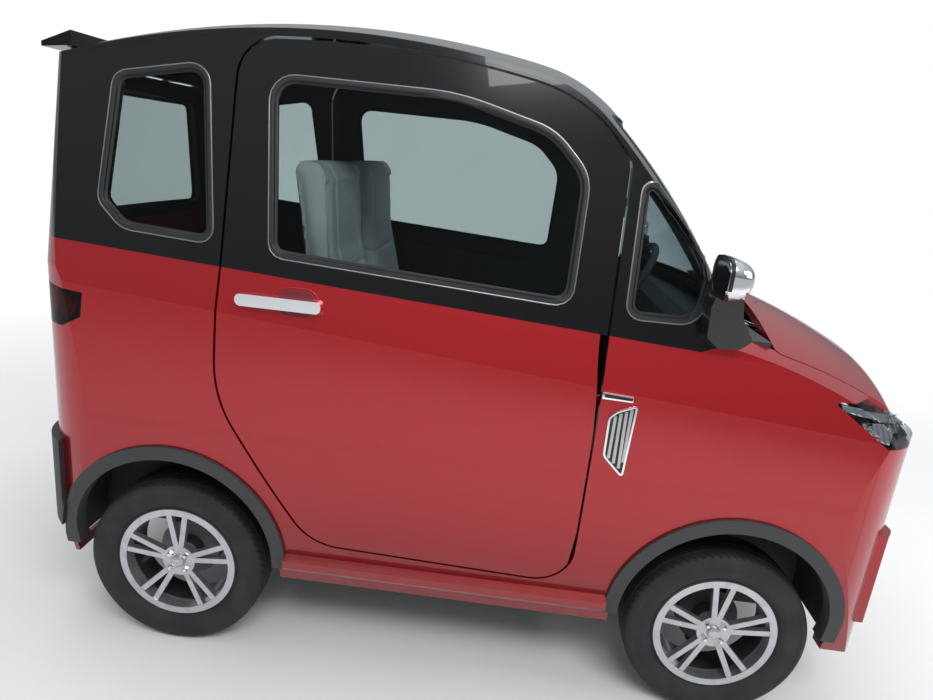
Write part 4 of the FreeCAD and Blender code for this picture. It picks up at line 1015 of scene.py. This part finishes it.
def padded_seat(node_name, name, shrink, cap_distance, pressure):
    """Pad from the left solid of a seat node."""
    source = nodes[node_name]
    pad = source.copy()
    pad.data = source.data.copy()
    scene.collection.objects.link(pad)
    pad.parent = None
    pad.matrix_world = Matrix.Identity(4)
    pad.hide_render = False
    pad.hide_viewport = False
    deselect()
    pad.select_set(True)
    bpy.context.view_layer.objects.active = pad
    shape = bmesh.new()
    shape.from_mesh(pad.data)
    bmesh.ops.delete(shape, geom=[vertex for vertex in shape.verts if vertex.co.y < 0.0], context="VERTS")
    bmesh.ops.remove_doubles(shape, verts=shape.verts, dist=0.00005)
    shape.to_mesh(pad.data)
    shape.free()
    pad.data.update()
    pad.name = name
    voxels = pad.modifiers.new("even", "REMESH")
    voxels.mode = "VOXEL"
    voxels.voxel_size = voxel_size
    apply_modifiers(pad)
    for vertex in pad.data.vertices:
        vertex.co = vertex.co - vertex.normal * shrink
    start = [vertex.co.copy() for vertex in pad.data.vertices]
    cloth = pad.modifiers.new("pad", "CLOTH")
    cloth.settings.use_pressure = True
    cloth.settings.uniform_pressure_force = pressure
    cloth.settings.effector_weights.gravity = 0.0
    cloth.settings.quality = 2
    cloth.collision_settings.use_collision = False
    cloth.point_cache.frame_start = 1
    cloth.point_cache.frame_end = cloth_frames
    for frame_number in range(1, cloth_frames + 1):
        scene.frame_set(frame_number)
    solved = pad.evaluated_get(bpy.context.evaluated_depsgraph_get())
    places = [vertex.co.copy() for vertex in solved.data.vertices]
    pad.modifiers.clear()
    for vertex, begun, ended in zip(pad.data.vertices, start, places):
        step = ended - begun
        if step.length > cap_distance:
            step *= cap_distance / step.length
        vertex.co = begun + step
    scene.frame_set(1)
    smooth = pad.modifiers.new("smooth", "SMOOTH")
    smooth.iterations = 4
    apply_modifiers(pad)
    return pad


def sewn_channels(pad, lines, depth, width):
    """Presses seams into the pad at planes given as (axis number, place)."""
    for vertex in pad.data.vertices:
        for axis, place in lines:
            gap = abs(vertex.co[axis] - place)
            if gap < width:
                vertex.co -= vertex.normal * depth * (1 - gap / width) ** 2


for node_name, label, seams in (("seat_cushions", "cushion_pad", ((1, 0.130), (1, 0.370))),
                                ("seat_backs", "back_pad", ((1, 0.135), (1, 0.365), (2, 1.090)))):
    pad = padded_seat(node_name, label + "_left", pad_shrink, pad_cap_distance, pad_pressure)
    sewn_channels(pad, seams, seam_depth, seam_width)
    finish_piece(pad, label + "_left", "seat_cover", "body", 60.0)
    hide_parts(node_name)
    other = other_side(pad, label + "_right", "body")
    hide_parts(node_name)
    print(label, len(pad.data.polygons), "faces")

# %% [markdown]
# ## The studio
# A pale floor takes the shadow. The world is white for the camera and a soft gradient for
# reflections, and three wide lamps give the paint its long highlights. Far from the car the floor
# turns white for the camera, so that no horizon shows.

# %% Floor, world and lamps


def studio_floor():
    deselect()
    bpy.ops.mesh.primitive_plane_add(size=60.0, location=(0, 0, 0))
    floor = bpy.context.active_object
    floor.name = "studio_floor"
    finish = Finish("pale_floor")
    cloud = finish.noise(2.0)
    finish.set("Base Color", finish.blend(cloud, (0.83, 0.83, 0.83), (0.87, 0.87, 0.87)))
    finish.set("Roughness", 0.8 + cloud * 0.1)
    white = finish.tree.nodes.new("ShaderNodeEmission")
    mix = finish.tree.nodes.new("ShaderNodeMixShader")
    away = (finish.x * finish.x + finish.y * finish.y).root()
    seen = finish.node("ShaderNodeLightPath", {}, {})["Is Camera Ray"]
    finish.feed(mix.inputs[0], finish.span(away, 1.8, 4.2) * seen)
    finish.tree.links.new(finish.shader.outputs[0], mix.inputs[1])
    finish.tree.links.new(white.outputs[0], mix.inputs[2])
    finish.tree.links.new(mix.outputs[0], finish.output.inputs["Surface"])
    floor.data.materials.append(finish.material)


def studio_world():
    world = bpy.data.worlds.new("studio_world")
    scene.world = world
    world.use_nodes = True
    tree = world.node_tree
    tree.nodes.clear()
    output = tree.nodes.new("ShaderNodeOutputWorld")
    light = tree.nodes.new("ShaderNodeBackground")
    where = tree.nodes.new("ShaderNodeTexCoord")
    split = tree.nodes.new("ShaderNodeSeparateXYZ")
    tree.links.new(where.outputs["Generated"], split.inputs[0])
    sky = tree.nodes.new("ShaderNodeMapRange")
    sky.inputs["From Min"].default_value = -0.05
    sky.inputs["From Max"].default_value = 0.75
    sky.inputs["To Min"].default_value = 0.16
    sky.inputs["To Max"].default_value = 0.70
    tree.links.new(split.outputs[2], sky.inputs["Value"])
    light.inputs[0].default_value = (0.92, 0.96, 1.0, 1.0)
    tree.links.new(sky.outputs[0], light.inputs[1])
    white = tree.nodes.new("ShaderNodeBackground")
    white.inputs[0].default_value = (1.0, 1.0, 1.0, 1.0)
    white.inputs[1].default_value = 1.0
    path = tree.nodes.new("ShaderNodeLightPath")
    seen = tree.nodes.new("ShaderNodeMath")
    seen.operation = "MAXIMUM"
    tree.links.new(path.outputs["Is Camera Ray"], seen.inputs[0])
    tree.links.new(path.outputs["Is Transmission Ray"], seen.inputs[1])
    mix = tree.nodes.new("ShaderNodeMixShader")
    tree.links.new(seen.outputs[0], mix.inputs[0])
    tree.links.new(light.outputs[0], mix.inputs[1])
    tree.links.new(white.outputs[0], mix.inputs[2])
    tree.links.new(mix.outputs[0], output.inputs["Surface"])


def soft_lamp(name, place, target, width, height, power):
    data = bpy.data.lights.new(name, "AREA")
    data.shape = "RECTANGLE"
    data.size = width
    data.size_y = height
    data.energy = power
    lamp = bpy.data.objects.new(name, data)
    scene.collection.objects.link(lamp)
    aim = (Vector(target) - Vector(place)).to_track_quat("-Z", "Y")
    lamp.matrix_world = Matrix.LocRotScale(Vector(place), aim, None)


studio_floor()
studio_world()
soft_lamp("key_lamp", (1.2, -3.6, 4.4), (0.1, 0.0, 0.7), 3.4, 1.4, 135.0)
soft_lamp("roof_lamp", (-0.4, 0.8, 4.6), (0.0, 0.0, 0.8), 4.5, 2.0, 80.0)
soft_lamp("nose_lamp", (4.4, -0.6, 2.2), (0.8, 0.0, 0.7), 2.0, 1.6, 30.0)
scene.view_settings.view_transform = "Standard"
